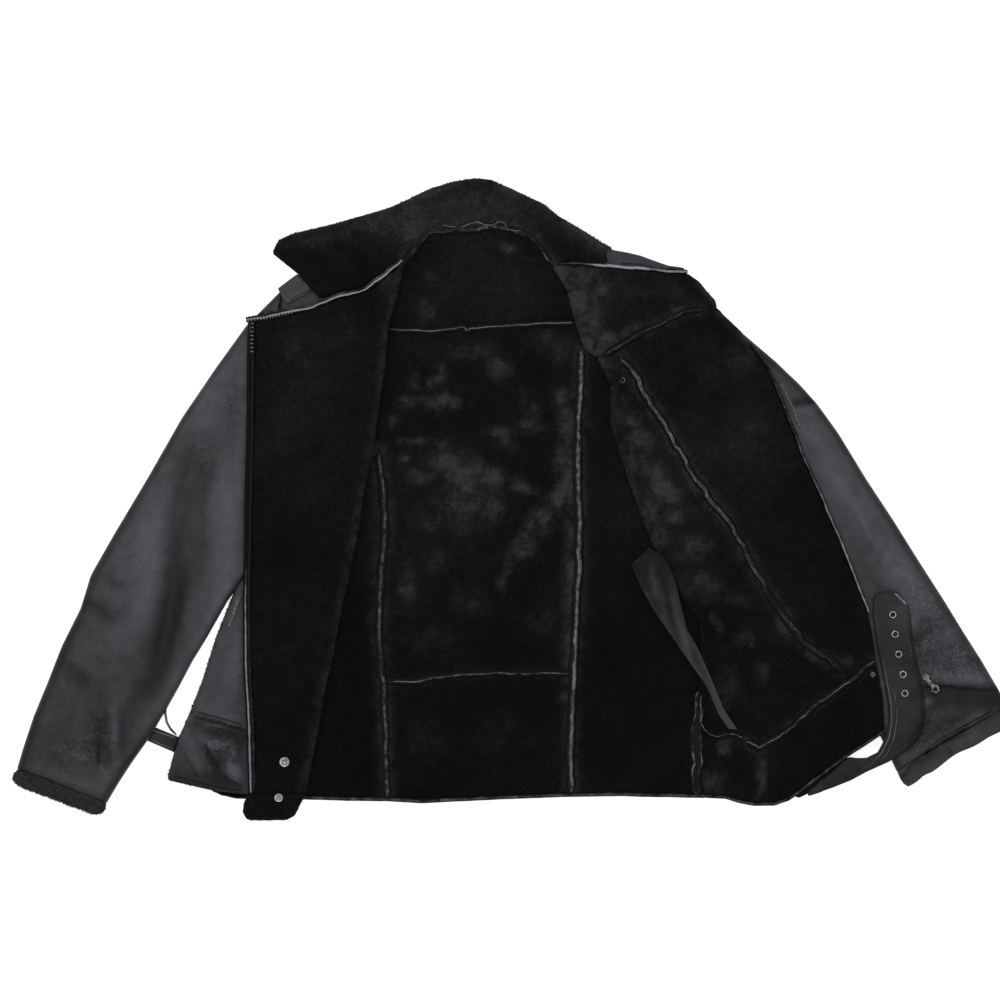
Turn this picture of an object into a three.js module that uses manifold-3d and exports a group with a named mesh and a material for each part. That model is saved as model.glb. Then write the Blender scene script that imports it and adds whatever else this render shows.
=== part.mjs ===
// A shearling biker jacket laid on its back with both fronts open: leather outside, wool inside.
// Units are millimetres. X runs to the right, Y towards the collar and Z up from the surface.
import * as THREE from 'three';
import { mergeVertices } from 'three/addons/utils/BufferGeometryUtils.js';
import Module from 'manifold-3d';

// Driving sizes
const STEP = 1.2;
const WALL = 7.5;
const SEAM_GAP = 0.3;
const SLEEVE_SLIT = 3;
const COLLAR_WALL = 9;
const STRAP_WALL = 3.5;
const BAG_WALL = 2.4;
const TRIM_WALL = 1.6;
const RIDGE_HEIGHT = 2.2;
const EYELET = { radius: 5.2, hole: 2, barrel: 0.7, clearance: 0.4, depth: 3, lip: 0.3, shoulder: 1.1,
  crown: 1.4 };
const SNAP = { radius: 6, rim: 1, crownRadius: 4.6, crown: 2.2, topRadius: 3, top: 2.4, dimple: 1.6 };
const SMALL_SNAP_SHARE = 0.7;
const RING = { hole: 2, radius: 4.2, rim: 0.8, crownRadius: 3, crown: 1.4 };
const SLIDER = { length: 10, width: 8, height: 3.4, bevel: 0.6, bevelOut: 0.5, tapeBehind: 4, tapeAhead: 9 };
const PULL = { thickness: 1.6, width: 4, stem: 13, ringRadius: 5, ringHole: 2.6, turn: -52 };
const ZIP_HALF_WIDTH = 2.6;
const ZIP_HIDDEN_HALF = 1.2;
const TAPE_HALF_WIDTH = 3.4;

// How finely the pieces are divided, from the widest panels to the smallest tabs
const SPACING = { back: 46, front: 32, strip: 30, strap: 24, collar: 20, tab: 15 };
const ROUND_SEGMENTS = { small: 12, snap: 16, ring: 7 };
const SLEEVE_STEPS = { flat: 6, round: 3 };

// Heights of the layers, each resting just above the one below it
const ON_BACK = WALL + SEAM_GAP;
const SLEEVE_TOP = 2 * WALL + SLEEVE_SLIT;
const ON_SLEEVE = SLEEVE_TOP + SEAM_GAP;
const ON_FRONT = ON_BACK + WALL + SEAM_GAP;
const FLAP_UNDERSIDE = ON_SLEEVE;

// How a wall is softened at its edges, and how it falls off what it lies on
const EDGE_INSET = 3;
const EDGE_DRAW_IN = 0.18;
const EDGE_HEIGHT = 0.8;
const COLLAR_EDGE_HEIGHT = 0.6;
const STRIP_EDGE_HEIGHT = 0.7;
const CORNER_SNAP = 2.6;
const OUTLINE_BOW = 0.02;
const FOLD_STEPS = 6;
const FOLD_LIP = 12;
const DRAPE_START = 25;
const DRAPE_RUN = 70;
const RIDGE_LIFT = 1.6;
const SEATED_LIFT = 0.45;
const DIAGONAL_LIFT = 0.9;
const NECK_RIDGE_LIFT = 1;
const BAG_LIFT = 0.8;

// Places are chart squares of STEP millimetres, written as squares right and squares down
const CHART_CENTRE = { x: 512.75, y: 499 };

const finishes = {
  wool: new THREE.MeshStandardMaterial({ color: 0x141416, roughness: 1, metalness: 0 }),
  leather: new THREE.MeshStandardMaterial({ color: 0x2c2b31, roughness: 0.55, metalness: 0 }),
  binding: new THREE.MeshStandardMaterial({ color: 0x55555a, roughness: 0.45, metalness: 0 }),
  pocketing: new THREE.MeshStandardMaterial({ color: 0x333336, roughness: 0.95, metalness: 0 }),
  nickel: new THREE.MeshStandardMaterial({ color: 0xb9bcc0, roughness: 0.25, metalness: 1 }),
};

const jacket = new THREE.Group();

function place([x, y]) {
  return new THREE.Vector2((x - CHART_CENTRE.x) * STEP, (CHART_CENTRE.y - y) * STEP);
}

// The lines below are the seams and edges of the laid-out jacket, as chart places from the
// top down or from the left to the right.
const shoulderLeft = [[282.2, 291], [310, 283], [345, 274], [384, 266], [404, 258]];
const neck = [[404, 258], [416, 246], [429, 233], [461, 230], [493, 226.5], [518, 230], [534, 240], [546, 255],
  [552, 262]];
const shoulderRight = [[552, 262], [580, 264], [610, 266], [640, 270], [670, 276]];
const armholeLeft = [[282.2, 291], [277.8, 331]];
const armholeRight = [[670, 276], [684, 331]];
const yokeSideLeft = [[277.8, 331], [330, 331.5], [385, 330.5]];
const yokeCentre = [[385, 330.5], [421, 331], [453, 329.5], [517, 324.7], [566, 322.5], [582, 324]];
const yokeSideRight = [[582, 324], [630, 328], [684, 331]];
const backLeftUpper = [[385, 330.5], [379, 385], [376, 435], [380, 469], [384, 503], [384, 537], [380, 587],
  [379, 638], [383, 684]];
const backLeftLower = [[383, 684], [385.5, 743], [387, 797]];
const backRightUpper = [[582, 324], [580, 385], [577.5, 463], [579.5, 524], [577.5, 591], [573.7, 674]];
const backRightLower = [[573.7, 674], [572, 718], [569.5, 750], [571, 792.5]];
const backCross = [[383, 684], [421.7, 680.5], [456, 674.5], [491, 673.3], [525, 672.8], [573.7, 674]];
const sideLeft = [[277.8, 331], [271.8, 385], [266.2, 435], [260.7, 485], [256.8, 520], [252.7, 558],
  [236, 590], [217, 638], [203, 682], [190, 715], [179, 740], [168, 779]];
const sideRight = [[684, 331], [690, 400], [694, 480], [699, 556], [700, 600], [699, 650], [697, 712],
  [697.5, 793]];
const hemLeft = [[168, 779], [216, 790], [248, 795], [302, 795], [345, 796.5], [387, 797]];
const hemCentre = [[387, 797], [421, 799], [504, 795], [571, 792.5]];
const hemRight = [[571, 792.5], [620, 792], [697.5, 793]];

const foldInner = [[384, 266], [377, 300], [369, 327], [365, 368], [359, 411], [352, 459], [345, 489],
  [337, 540], [328, 581], [320, 617], [313, 655], [306, 684], [297, 734], [291, 762], [286, 792]];
const foldAxis = [[396, 272], [389.5, 300], [381.5, 327], [378, 368], [371.5, 411], [364.5, 459], [357.5, 489],
  [349.5, 540], [340.5, 581], [332.5, 617], [326, 655], [318.5, 684], [309.5, 734], [303.5, 762], [298, 792]];
const flapTop = [[256.5, 322], [283, 317.5], [314, 309.5], [335, 302], [358, 295.5], [368, 292], [381, 282],
  [396, 272]];
const flapEdge = [[256.5, 322], [255, 435], [252.5, 557], [251.5, 604], [252.5, 670], [255.5, 725],
  [257, 792]];
const flapEnd = [[257, 792], [298, 792]];

const lapelTop = [[553, 266], [573, 266], [596, 268], [620, 269.5], [639, 271.5], [663, 274], [687, 275.5]];
const lapelLeft = [[553, 266], [560, 277], [568, 290], [576, 322], [585, 348], [595, 355], [606, 355.5]];
const lapelRight = [[687, 275.5], [698, 283], [706, 293], [713.5, 301], [716, 309]];
const lapelSeam = [[606, 355.5], [630, 338.5], [652, 328.5], [682, 313], [703, 310], [716, 309]];
const diagonalSeam = [[606, 355.5], [620.5, 359], [632, 371], [645, 396], [657, 414], [670, 434],
  [690.6, 475], [715, 505], [732, 528], [750, 562], [767.6, 593], [783, 615], [801, 641], [830, 662],
  [852, 678]];
const valley = [[598, 357], [612, 387], [611, 424], [621, 454], [631, 485], [644, 520], [654, 545],
  [668, 572], [684, 598], [700.7, 622], [700.3, 660], [699, 700], [699.5, 735]];
const frontEdge = [[716, 309], [722, 316], [740, 333], [752, 352], [765, 369], [773, 387], [784, 413.5],
  [800, 456], [828.5, 520], [842, 552], [854, 583], [866, 613], [871, 640], [874, 660]];
const hemSeamRight = [[699.5, 735], [718, 739], [734, 736.5], [746, 742], [758, 748.5], [774, 738.5],
  [787, 729], [808, 709.5], [830, 695], [852, 678]];
const hemSeamEnd = [[852, 678], [874, 660]];
const frontHem = [[698.5, 793], [726, 795], [738, 799], [754, 802], [773.5, 802], [787, 797.5], [797, 790.5],
  [820, 773], [846, 753], [882, 729]];

const collarTop = [[273.5, 253], [280, 241], [293, 235], [335, 225], [389, 209.5], [409, 200.5], [430, 190],
  [453, 183], [476, 179.5], [492, 181.5], [515, 192], [525, 197], [543, 205], [557, 217], [586, 233],
  [608, 246.5]];
const collarLeft = [[273.5, 253], [298.5, 273], [321, 298]];
const collarFoot = [[321, 298], [335, 294], [358, 287.5], [367, 284], [379, 274.5], [386, 272], [401, 259],
  ...neck, [573, 259.5], [596, 261], [609, 261.5]];
const collarRight = [[608, 246.5], [609, 261.5]];

// One row for each crosswise section of a sleeve: its outer edge, then its inner edge
const sleeveLeftRows = [
  { outer: [281, 291], inner: [251.5, 557] }, { outer: [247, 325], inner: [243, 573] },
  { outer: [216, 368], inner: [233.5, 590] }, { outer: [182, 418], inner: [228, 601] },
  { outer: [149, 476], inner: [219, 617] }, { outer: [115, 533], inner: [206, 640] },
  { outer: [91, 575], inner: [193, 661] }, { outer: [81, 608], inner: [181, 684] },
  { outer: [62, 646], inner: [166, 711] }, { outer: [48, 682], inner: [149, 739] },
  { outer: [34, 716], inner: [132, 763] }, { outer: [24, 746], inner: [119, 783] },
  { outer: [17.5, 768], inner: [107.5, 802.5] },
];
const sleeveRightRows = [
  { outer: [686, 290], inner: [704, 556] }, { outer: [714, 308], inner: [717, 561] },
  { outer: [742, 333], inner: [731, 569] }, { outer: [776, 362], inner: [748, 580] },
  { outer: [800, 385], inner: [757, 586] }, { outer: [817, 404], inner: [766, 593] },
  { outer: [838, 433], inner: [782, 607] }, { outer: [866, 479], inner: [799, 625] },
  { outer: [893, 520], inner: [816, 644] }, { outer: [918, 560], inner: [832, 663] },
  { outer: [943, 599], inner: [847, 683] }, { outer: [962, 630], inner: [860, 701] },
  { outer: [981, 660], inner: [871, 718] }, { outer: [998, 689], inner: [884, 745] },
  { outer: [1007, 706], inner: [896, 771] },
];
const cuffLeftRows = [
  { outer: [17.4, 768.3], inner: [107.4, 802.8] }, { outer: [12.5, 775], inner: [107.2, 809.5] },
  { outer: [12, 779.5], inner: [103, 813.7] }, { outer: [17, 784.7], inner: [97, 815] },
];
const cuffRightRows = [
  { outer: [1007.2, 706.3], inner: [896.2, 771.3] }, { outer: [1013, 716], inner: [899.5, 779] },
  { outer: [1013.5, 721], inner: [903, 784] }, { outer: [1009, 726], inner: [907, 786.5] },
];

// The large folds in the sleeves' upper walls: a trough or a ridge from one place to another
const sleeveFolds = [
  { from: [191, 440], to: [163, 655], width: 13, rise: -2.6 },
  { from: [232, 470], to: [228, 585], width: 12, rise: 1.8 },
  { from: [150, 512], to: [140, 600], width: 22, rise: 1.6 },
  { from: [82, 596], to: [122, 622], width: 12, rise: -2.2 },
  { from: [106, 700], to: [108, 776], width: 8, rise: -2 },
  { from: [113, 705], to: [117, 770], width: 6, rise: 1.6 },
  { from: [58, 668], to: [96, 690], width: 14, rise: -1.6 },
  { from: [794, 405], to: [818, 403], width: 9, rise: -2.4 },
  { from: [800, 425], to: [905, 590], width: 22, rise: 1.8 },
  { from: [860, 560], to: [925, 660], width: 14, rise: -2 },
  { from: [930, 684], to: [1000, 690], width: 15, rise: -2.6 },
  { from: [935, 672], to: [990, 676], width: 13, rise: 2 },
  { from: [906, 600], to: [950, 640], width: 12, rise: -1.6 },
];

const strapLeft = [[873, 596], [872, 615], [876, 643], [882, 674], [886.5, 698], [888.5, 718], [885, 737],
  [877, 752], [866, 757.5], [850, 758.5], [834, 770], [820, 781.5], [808, 790]];
const strapRight = [[897, 592.5], [908, 606], [910, 631], [915.5, 658], [920, 680], [923.6, 700], [923.4, 718],
  [918.5, 736], [907.6, 749], [888, 761], [866, 771], [850, 780], [838, 785], [820, 793], [808, 796]];
const eyeletPlaces = [[892, 614.5], [894.3, 634], [897.8, 654], [902.2, 674], [904, 693]];
const snapPlaces = { snap_upper: [285, 761.3], snap_lower: [279.2, 797], snap_right: [871.5, 674] };
const ringPlace = [622.5, 380.5];
const sliderPlace = [925.5, 677.5];

const bagLeft = [[630, 564], [641, 588], [654, 612], [672, 638], [689, 662], [706, 686], [718, 714],
  [728, 729]];
const bagRight = [[649, 547], [663, 555], [671, 569], [677, 587], [680, 601], [687, 629], [698, 648],
  [710, 675], [724, 709], [738, 730]];

// Measuring along a line
function lineOf(points) {
  const spots = points.map(place);
  const lengths = [0];
  for (let i = 1; i < spots.length; i += 1) {
    lengths.push(lengths[i - 1] + spots[i].distanceTo(spots[i - 1]));
  }
  const total = lengths[lengths.length - 1];
  return { spots, shares: lengths.map((length) => length / total), total };
}

function spotAt(line, share) {
  const last = line.shares.length - 1;
  let i = 0;
  while (i < last - 1 && line.shares[i + 1] < share) i += 1;
  const span = line.shares[i + 1] - line.shares[i];
  return line.spots[i].clone().lerp(line.spots[i + 1], (share - line.shares[i]) / span);
}

function join(...lines) {
  return lines.flatMap((line, i) => (i === 0 ? line : line.slice(1)));
}

// The shares at which two facing lines are both cut, so that each keeps its own corners
function sharedShares(first, second, spacing) {
  const length = Math.max(first.total, second.total);
  const inset = EDGE_INSET / length;
  const both = [...first.shares, ...second.shares];
  const corners = both.filter((share) => share > 2 * inset && share < 1 - 2 * inset);
  const wanted = [0, inset, ...corners.sort((a, b) => a - b), 1 - inset, 1];
  const shares = [0];
  for (const share of wanted) {
    const before = shares[shares.length - 1];
    const snap = share === inset || share >= 1 - inset ? 1e-6 : CORNER_SNAP / length;
    if (share - before < snap) continue;
    const pieces = Math.max(1, Math.round(((share - before) * length) / spacing));
    for (let k = 1; k <= pieces; k += 1) shares.push(before + ((share - before) * k) / pieces);
  }
  return shares;
}

// A closed solid between two facing grids of points. A ring grid closes on itself across, and
// a level inner grid needs only the points along its edge.
function solidBetween(outer, inner, { ring = false, level = false } = {}) {
  const rows = outer.length;
  const columns = outer[0].length;
  const spans = ring ? columns : columns - 1;
  const positions = outer.flat().flatMap((spot) => [spot.x, spot.y, spot.z]);
  const places = new Map();
  inner.forEach((row, r) => row.forEach((spot, c) => {
    const onEdge = r === 0 || r === rows - 1 || c === 0 || c === columns - 1;
    if (level && !onEdge) return;
    places.set(r * columns + c, positions.length / 3);
    positions.push(spot.x, spot.y, spot.z);
  }));
  const outside = (r, c) => r * columns + (c % columns);
  const inside = (r, c) => places.get(outside(r, c));
  const faces = [];
  const quad = (a, b, c, d) => faces.push(a, b, c, a, c, d);
  for (let r = 0; r < rows - 1; r += 1) {
    for (let c = 0; c < spans; c += 1) {
      quad(outside(r, c), outside(r + 1, c), outside(r + 1, c + 1), outside(r, c + 1));
      if (!level) quad(inside(r, c), inside(r, c + 1), inside(r + 1, c + 1), inside(r + 1, c));
    }
    if (!ring) {
      quad(outside(r, 0), inside(r, 0), inside(r + 1, 0), outside(r + 1, 0));
      quad(outside(r, spans), outside(r + 1, spans), inside(r + 1, spans), inside(r, spans));
    }
  }
  for (let c = 0; c < spans; c += 1) {
    quad(outside(0, c), outside(0, c + 1), inside(0, c + 1), inside(0, c));
    quad(outside(rows - 1, c), inside(rows - 1, c), inside(rows - 1, c + 1), outside(rows - 1, c + 1));
  }
  if (level) {
    const loop = [];
    for (let c = 0; c < spans; c += 1) loop.push([0, c]);
    for (let r = 0; r < rows - 1; r += 1) loop.push([r, spans]);
    for (let c = spans; c > 0; c -= 1) loop.push([rows - 1, c]);
    for (let r = rows - 1; r > 0; r -= 1) loop.push([r, 0]);
    const outline = loop.map(([r, c]) => {
      const inwards = inner[Math.min(Math.max(r, 1), rows - 2)][Math.min(Math.max(c, 1), columns - 2)];
      const share = r === 0 || r === rows - 1 ? c / spans : r / (rows - 1);
      const bow = inwards.clone().sub(inner[r][c]).setLength(OUTLINE_BOW * 4 * share * (1 - share));
      return new THREE.Vector2(inner[r][c].x + bow.x, inner[r][c].y + bow.y);
    });
    const turnsLeft = THREE.ShapeUtils.area(outline) > 0;
    for (const corners of THREE.ShapeUtils.triangulateShape(outline, [])) {
      const spots = corners.map((k) => inside(...loop[k]));
      const sameWay = THREE.ShapeUtils.area(corners.map((k) => outline[k])) > 0 === turnsLeft;
      faces.push(...(sameWay ? spots : spots.reverse()));
    }
  }
  const geometry = new THREE.BufferGeometry();
  geometry.setAttribute('position', new THREE.Float32BufferAttribute(positions, 3));
  geometry.setIndex(volumeOf(positions, faces) < 0 ? faces.reverse() : faces);
  geometry.computeVertexNormals();
  return geometry;
}

function volumeOf(positions, faces) {
  const [a, b, c] = [new THREE.Vector3(), new THREE.Vector3(), new THREE.Vector3()];
  let volume = 0;
  for (let i = 0; i < faces.length; i += 3) {
    a.fromArray(positions, faces[i] * 3);
    b.fromArray(positions, faces[i + 1] * 3);
    c.fromArray(positions, faces[i + 2] * 3);
    volume += a.dot(b.cross(c)) / 6;
  }
  return volume;
}

function add(name, geometry, finish) {
  const mesh = new THREE.Mesh(geometry, finishes[finish]);
  mesh.name = name;
  jacket.add(mesh);
  return mesh;
}

// The plan of a piece between its four edges, drawn in a little from each of them
function planBetween({ top, bottom, left, right }, spacing) {
  const edges = { top: lineOf(top), bottom: lineOf(bottom), left: lineOf(left), right: lineOf(right) };
  const across = sharedShares(edges.top, edges.bottom, spacing);
  const down = sharedShares(edges.left, edges.right, spacing);
  const [above, below] = [edges.left, edges.right];
  const corners = [above.spots[0], below.spots[0], above.spots.at(-1), below.spots.at(-1)];
  const plan = down.map((v) => across.map((u) => {
    const spot = spotAt(edges.top, u).multiplyScalar(1 - v);
    spot.addScaledVector(spotAt(edges.bottom, u), v);
    spot.addScaledVector(spotAt(edges.left, v), 1 - u);
    spot.addScaledVector(spotAt(edges.right, v), u);
    spot.addScaledVector(corners[0], -(1 - u) * (1 - v)).addScaledVector(corners[1], -u * (1 - v));
    return spot.addScaledVector(corners[2], -(1 - u) * v).addScaledVector(corners[3], -u * v);
  }));
  const drawIn = (spot, towards) => spot.add(towards.clone().sub(spot).setLength(EDGE_DRAW_IN));
  const lastRow = plan.length - 1;
  const lastColumn = plan[0].length - 1;
  for (const row of plan) {
    drawIn(row[0], row[1]);
    drawIn(row[lastColumn], row[lastColumn - 1]);
  }
  for (let c = 0; c <= lastColumn; c += 1) {
    drawIn(plan[0][c], plan[1][c]);
    drawIn(plan[lastRow][c], plan[lastRow - 1][c]);
  }
  return plan;
}

// A wall over a plan: it rests at one height, or at the height under(x, y), with softened edges
function wallOver(plan, { under = 0, wall = WALL, edge = EDGE_HEIGHT }) {
  const level = typeof under === 'number';
  const underAt = level ? () => under : under;
  const lastRow = plan.length - 1;
  const lastColumn = plan[0].length - 1;
  const rest = (spot) => new THREE.Vector3(spot.x, spot.y, underAt(spot.x, spot.y));
  const lower = plan.map((row) => row.map(rest));
  const upper = lower.map((row, r) => row.map((spot, c) => {
    const onEdge = r === 0 || r === lastRow || c === 0 || c === lastColumn;
    return new THREE.Vector3(spot.x, spot.y, spot.z + wall * (onEdge ? edge : 1));
  }));
  return solidBetween(upper, lower, { level });
}

// What a piece is draped over: each region raises it to its height and lets it fall away outside
function distanceTo(outline, x, y) {
  let inside = false;
  let nearest = Infinity;
  for (let i = 0, j = outline.length - 1; i < outline.length; j = i, i += 1) {
    const a = outline[j];
    const b = outline[i];
    if (a.y > y !== b.y > y && x < a.x + ((b.x - a.x) * (y - a.y)) / (b.y - a.y)) inside = !inside;
    const alongX = b.x - a.x;
    const alongY = b.y - a.y;
    const share = ((x - a.x) * alongX + (y - a.y) * alongY) / (alongX * alongX + alongY * alongY);
    const held = Math.min(1, Math.max(0, share));
    nearest = Math.min(nearest, Math.hypot(x - a.x - alongX * held, y - a.y - alongY * held));
  }
  return inside ? 0 : nearest;
}

function drapeOver(...regions) {
  return (x, y) => {
    let height = 0;
    for (const { outline, rise } of regions) {
      const beyond = (distanceTo(outline, x, y) - DRAPE_START) / DRAPE_RUN;
      const fall = THREE.MathUtils.smoothstep(1 - beyond, 0, 1);
      const top = typeof rise === 'function' ? rise(x, y) : rise;
      height = Math.max(height, top * fall);
    }
    return height;
  };
}

const backCorners = [[571, 650], [560, 330]];
const openBack = [...join(shoulderRight, armholeRight, sideRight.slice(0, 6)), ...backCorners];
const sleeveInnerUp = sleeveRightRows.map((row) => row.inner).reverse();
const openSleeve = [...sleeveRightRows.map((row) => row.outer), ...sleeveInnerUp];
const yokeCorners = [[684, 331], [268, 331]];
const openYoke = [...join(shoulderLeft, neck, shoulderRight), ...yokeCorners];
const shoulderCorners = [[402, 330], [264, 331]];
const backRegion = { outline: openBack.map(place), rise: ON_BACK };
const sleeveRegion = { outline: openSleeve.map(place), rise: ON_SLEEVE };
const neckRegion = { outline: openYoke.map(place), rise: ON_BACK };
const frontShoulderRegion = { outline: [...shoulderLeft, ...shoulderCorners].map(place), rise: ON_FRONT };
const underFrontRight = drapeOver(backRegion, sleeveRegion);
const underCollar = drapeOver(neckRegion, frontShoulderRegion);

// Back: yoke, centre panel, lower band and two side panels, wool side up
function back() {
  const pieces = {
    back_yoke: { top: join(shoulderLeft, neck, shoulderRight), left: armholeLeft, right: armholeRight,
      bottom: join(yokeSideLeft, yokeCentre, yokeSideRight) },
    back_centre: { top: yokeCentre, bottom: backCross, left: backLeftUpper, right: backRightUpper },
    back_hem_band: { top: backCross, bottom: hemCentre, left: backLeftLower, right: backRightLower },
    back_side_left: { top: yokeSideLeft, bottom: hemLeft, left: sideLeft,
      right: join(backLeftUpper, backLeftLower) },
    back_side_right: { top: yokeSideRight, bottom: hemRight, left: join(backRightUpper, backRightLower),
      right: sideRight },
  };
  for (const [name, edges] of Object.entries(pieces)) {
    add(name, wallOver(planBetween(edges, SPACING.back), {}), 'wool');
  }
}

// The front at the left: its side panel lies leather up, and the front panel turns back over it
function frontLeft() {
  const side = { top: shoulderLeft.slice(0, 4), left: join(armholeLeft, sideLeft), right: foldInner,
    bottom: [[168, 779], [189, 783], [216, 790], [248, 794], [286, 792]] };
  add('front_left_side', wallOver(planBetween(side, SPACING.back), { under: ON_BACK }), 'leather');
  const band = { top: [[190, 715], [220, 722.5], [247, 731], [262, 734]],
    bottom: [[168.5, 779], [216, 790], [248, 794], [262, 793]],
    left: [[190, 715], [179, 740], [168.5, 779]], right: [[262, 734], [262, 793]] };
  const lapped = { under: ON_FRONT, wall: TRIM_WALL };
  add('hem_band_left', wallOver(planBetween(band, SPACING.front), lapped), 'leather');

  const flap = planBetween({ top: flapTop, bottom: flapEnd, left: flapEdge, right: foldAxis }, SPACING.back);
  const outerRadius = (FLAP_UNDERSIDE + WALL - ON_BACK) / 2;
  const innerRadius = outerRadius - WALL;
  const middle = ON_BACK + outerRadius;
  const outer = [];
  const inner = [];
  flap.forEach((row, r) => {
    const axis = row.at(-1);
    const out = axis.clone().sub(row.at(-3)).normalize();
    const onEdge = r === 0 || r === flap.length - 1;
    const outerRow = row.slice(0, -2).map((spot, c) => {
      const soft = c === 0 || onEdge ? EDGE_HEIGHT : 1;
      return new THREE.Vector3(spot.x, spot.y, FLAP_UNDERSIDE + WALL * soft);
    });
    const innerRow = row.slice(0, -2).map((spot) => new THREE.Vector3(spot.x, spot.y, FLAP_UNDERSIDE));
    const around = (radius, turn) => {
      const spot = axis.clone().addScaledVector(out, radius * Math.sin(turn));
      return new THREE.Vector3(spot.x, spot.y, middle + radius * Math.cos(turn));
    };
    for (let k = 0; k <= FOLD_STEPS; k += 1) {
      outerRow.push(around(outerRadius, (Math.PI * k) / FOLD_STEPS));
      innerRow.push(around(innerRadius, (Math.PI * k) / FOLD_STEPS));
    }
    const end = axis.clone().addScaledVector(out, -FOLD_LIP);
    outerRow.push(new THREE.Vector3(end.x, end.y, ON_BACK));
    innerRow.push(new THREE.Vector3(end.x, end.y, ON_BACK + WALL));
    outer.push(outerRow);
    inner.push(innerRow);
  });
  add('front_left_main', solidBetween(outer, inner), 'wool');

  const tab = { top: [[248.5, 792.4], [305, 792.4]], bottom: [[248.5, 818.5], [288, 818]],
    left: [[248.5, 792.4], [247, 800], [244, 811], [248.5, 818.5]],
    right: [[305, 792.4], [302.4, 797], [299.5, 804], [295.5, 811], [288, 818]] };
  add('hem_tab_left', wallOver(planBetween(tab, SPACING.tab), { under: FLAP_UNDERSIDE }), 'wool');
}

// The front at the right, opened out wool side up over the sleeve
function frontRight() {
  const pieces = {
    lapel_right: { top: lapelTop, bottom: lapelSeam, left: lapelLeft, right: lapelRight },
    front_right_side: { top: [[598, 357], [606, 355.5]], bottom: hemSeamRight, left: valley,
      right: diagonalSeam },
    front_right_main: { top: lapelSeam, bottom: hemSeamEnd, left: diagonalSeam, right: frontEdge },
    front_right_hem_band: { top: join(hemSeamRight, hemSeamEnd), bottom: frontHem,
      left: [[699.5, 735], [698.5, 793]], right: [[874, 660], [881, 700], [882, 729]] },
  };
  for (const [name, edges] of Object.entries(pieces)) {
    add(name, wallOver(planBetween(edges, SPACING.front), { under: underFrontRight }), 'wool');
  }
}

function collar() {
  const edges = { top: collarTop, bottom: collarFoot, left: collarLeft, right: collarRight };
  const plan = planBetween(edges, SPACING.collar);
  add('collar', wallOver(plan, { under: underCollar, wall: COLLAR_WALL, edge: COLLAR_EDGE_HEIGHT }), 'wool');
  const tab = { top: [[278.5, 289], [297, 275]], bottom: [[286.5, 305], [313, 291]],
    left: [[278.5, 289], [286.5, 305]], right: [[297, 275], [313, 291]] };
  add('collar_tab', wallOver(planBetween(tab, SPACING.tab), { under: ON_FRONT, wall: BAG_WALL }), 'leather');
  const shoulder = { top: [[611, 248.5], [641, 255], [668, 266], [684, 268.5]],
    bottom: [[611, 264], [640, 266.6], [664, 269.1], [684, 270.4]], left: [[611, 248.5], [611, 264]],
    right: [[684, 268.5], [684, 270.4]] };
  const plainShoulder = planBetween(shoulder, SPACING.tab);
  add('shoulder_right', wallOver(plainShoulder, { under: underFrontRight }), 'leather');
}

// A sleeve is a flattened tube: a row of rounded flat rings with a slit between its two walls
function ringOf({ outer, inner }, height, wall) {
  const from = place(outer);
  const to = place(inner);
  const middle = from.clone().add(to).multiplyScalar(0.5);
  const along = to.clone().sub(from).normalize();
  const half = from.distanceTo(to) / 2;
  const ring = (halfWidth, low, high) => {
    const radius = (high - low) / 2;
    const straight = halfWidth - radius;
    const spots = [];
    const { flat: flatSteps, round: roundSteps } = SLEEVE_STEPS;
    const put = (offset, z) => {
      const spot = middle.clone().addScaledVector(along, offset);
      spots.push(new THREE.Vector3(spot.x, spot.y, z));
    };
    for (let k = 0; k < flatSteps; k += 1) put(straight * (1 - (2 * k) / flatSteps), high);
    for (let k = 0; k < roundSteps; k += 1) {
      const turn = (Math.PI * k) / roundSteps;
      put(-straight - radius * Math.sin(turn), low + radius + radius * Math.cos(turn));
    }
    for (let k = 0; k < flatSteps; k += 1) put(straight * ((2 * k) / flatSteps - 1), low);
    for (let k = 0; k < roundSteps; k += 1) {
      const turn = (Math.PI * k) / roundSteps;
      put(straight + radius * Math.sin(turn), low + radius - radius * Math.cos(turn));
    }
    return spots;
  };
  return { outside: ring(half, 0, height), inside: ring(half - wall, wall, height - wall) };
}

// How far the folds lift or lower a sleeve's upper wall at one place
function foldAt(x, y) {
  let rise = 0;
  for (const fold of sleeveFolds) {
    const a = place(fold.from);
    const along = place(fold.to).sub(a);
    const share = Math.min(1, Math.max(0, ((x - a.x) * along.x + (y - a.y) * along.y) / along.lengthSq()));
    const away = Math.hypot(x - a.x - along.x * share, y - a.y - along.y * share) / fold.width;
    const ends = Math.sin(Math.PI * (0.15 + 0.7 * share));
    rise += fold.rise * ends * Math.exp(-away * away);
  }
  return rise;
}

function sleeve(name, rows, finish, folded) {
  const rings = [];
  rows.forEach((row, i) => {
    if (i > 0 && folded) {
      const before = rows[i - 1];
      const midway = (a, b) => [(a[0] + b[0]) / 2, (a[1] + b[1]) / 2];
      rings.push(ringOf({ outer: midway(before.outer, row.outer), inner: midway(before.inner, row.inner) },
        SLEEVE_TOP, WALL));
    }
    rings.push(ringOf(row, SLEEVE_TOP, WALL));
  });
  const outer = rings.map((ring) => ring.outside);
  if (folded) {
    for (const spot of outer.flat()) {
      if (spot.z > SLEEVE_TOP - 1) spot.z += Math.min(0, foldAt(spot.x, spot.y));
    }
  }
  add(name, solidBetween(outer, rings.map((ring) => ring.inside), { ring: true }), finish);
}

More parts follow.
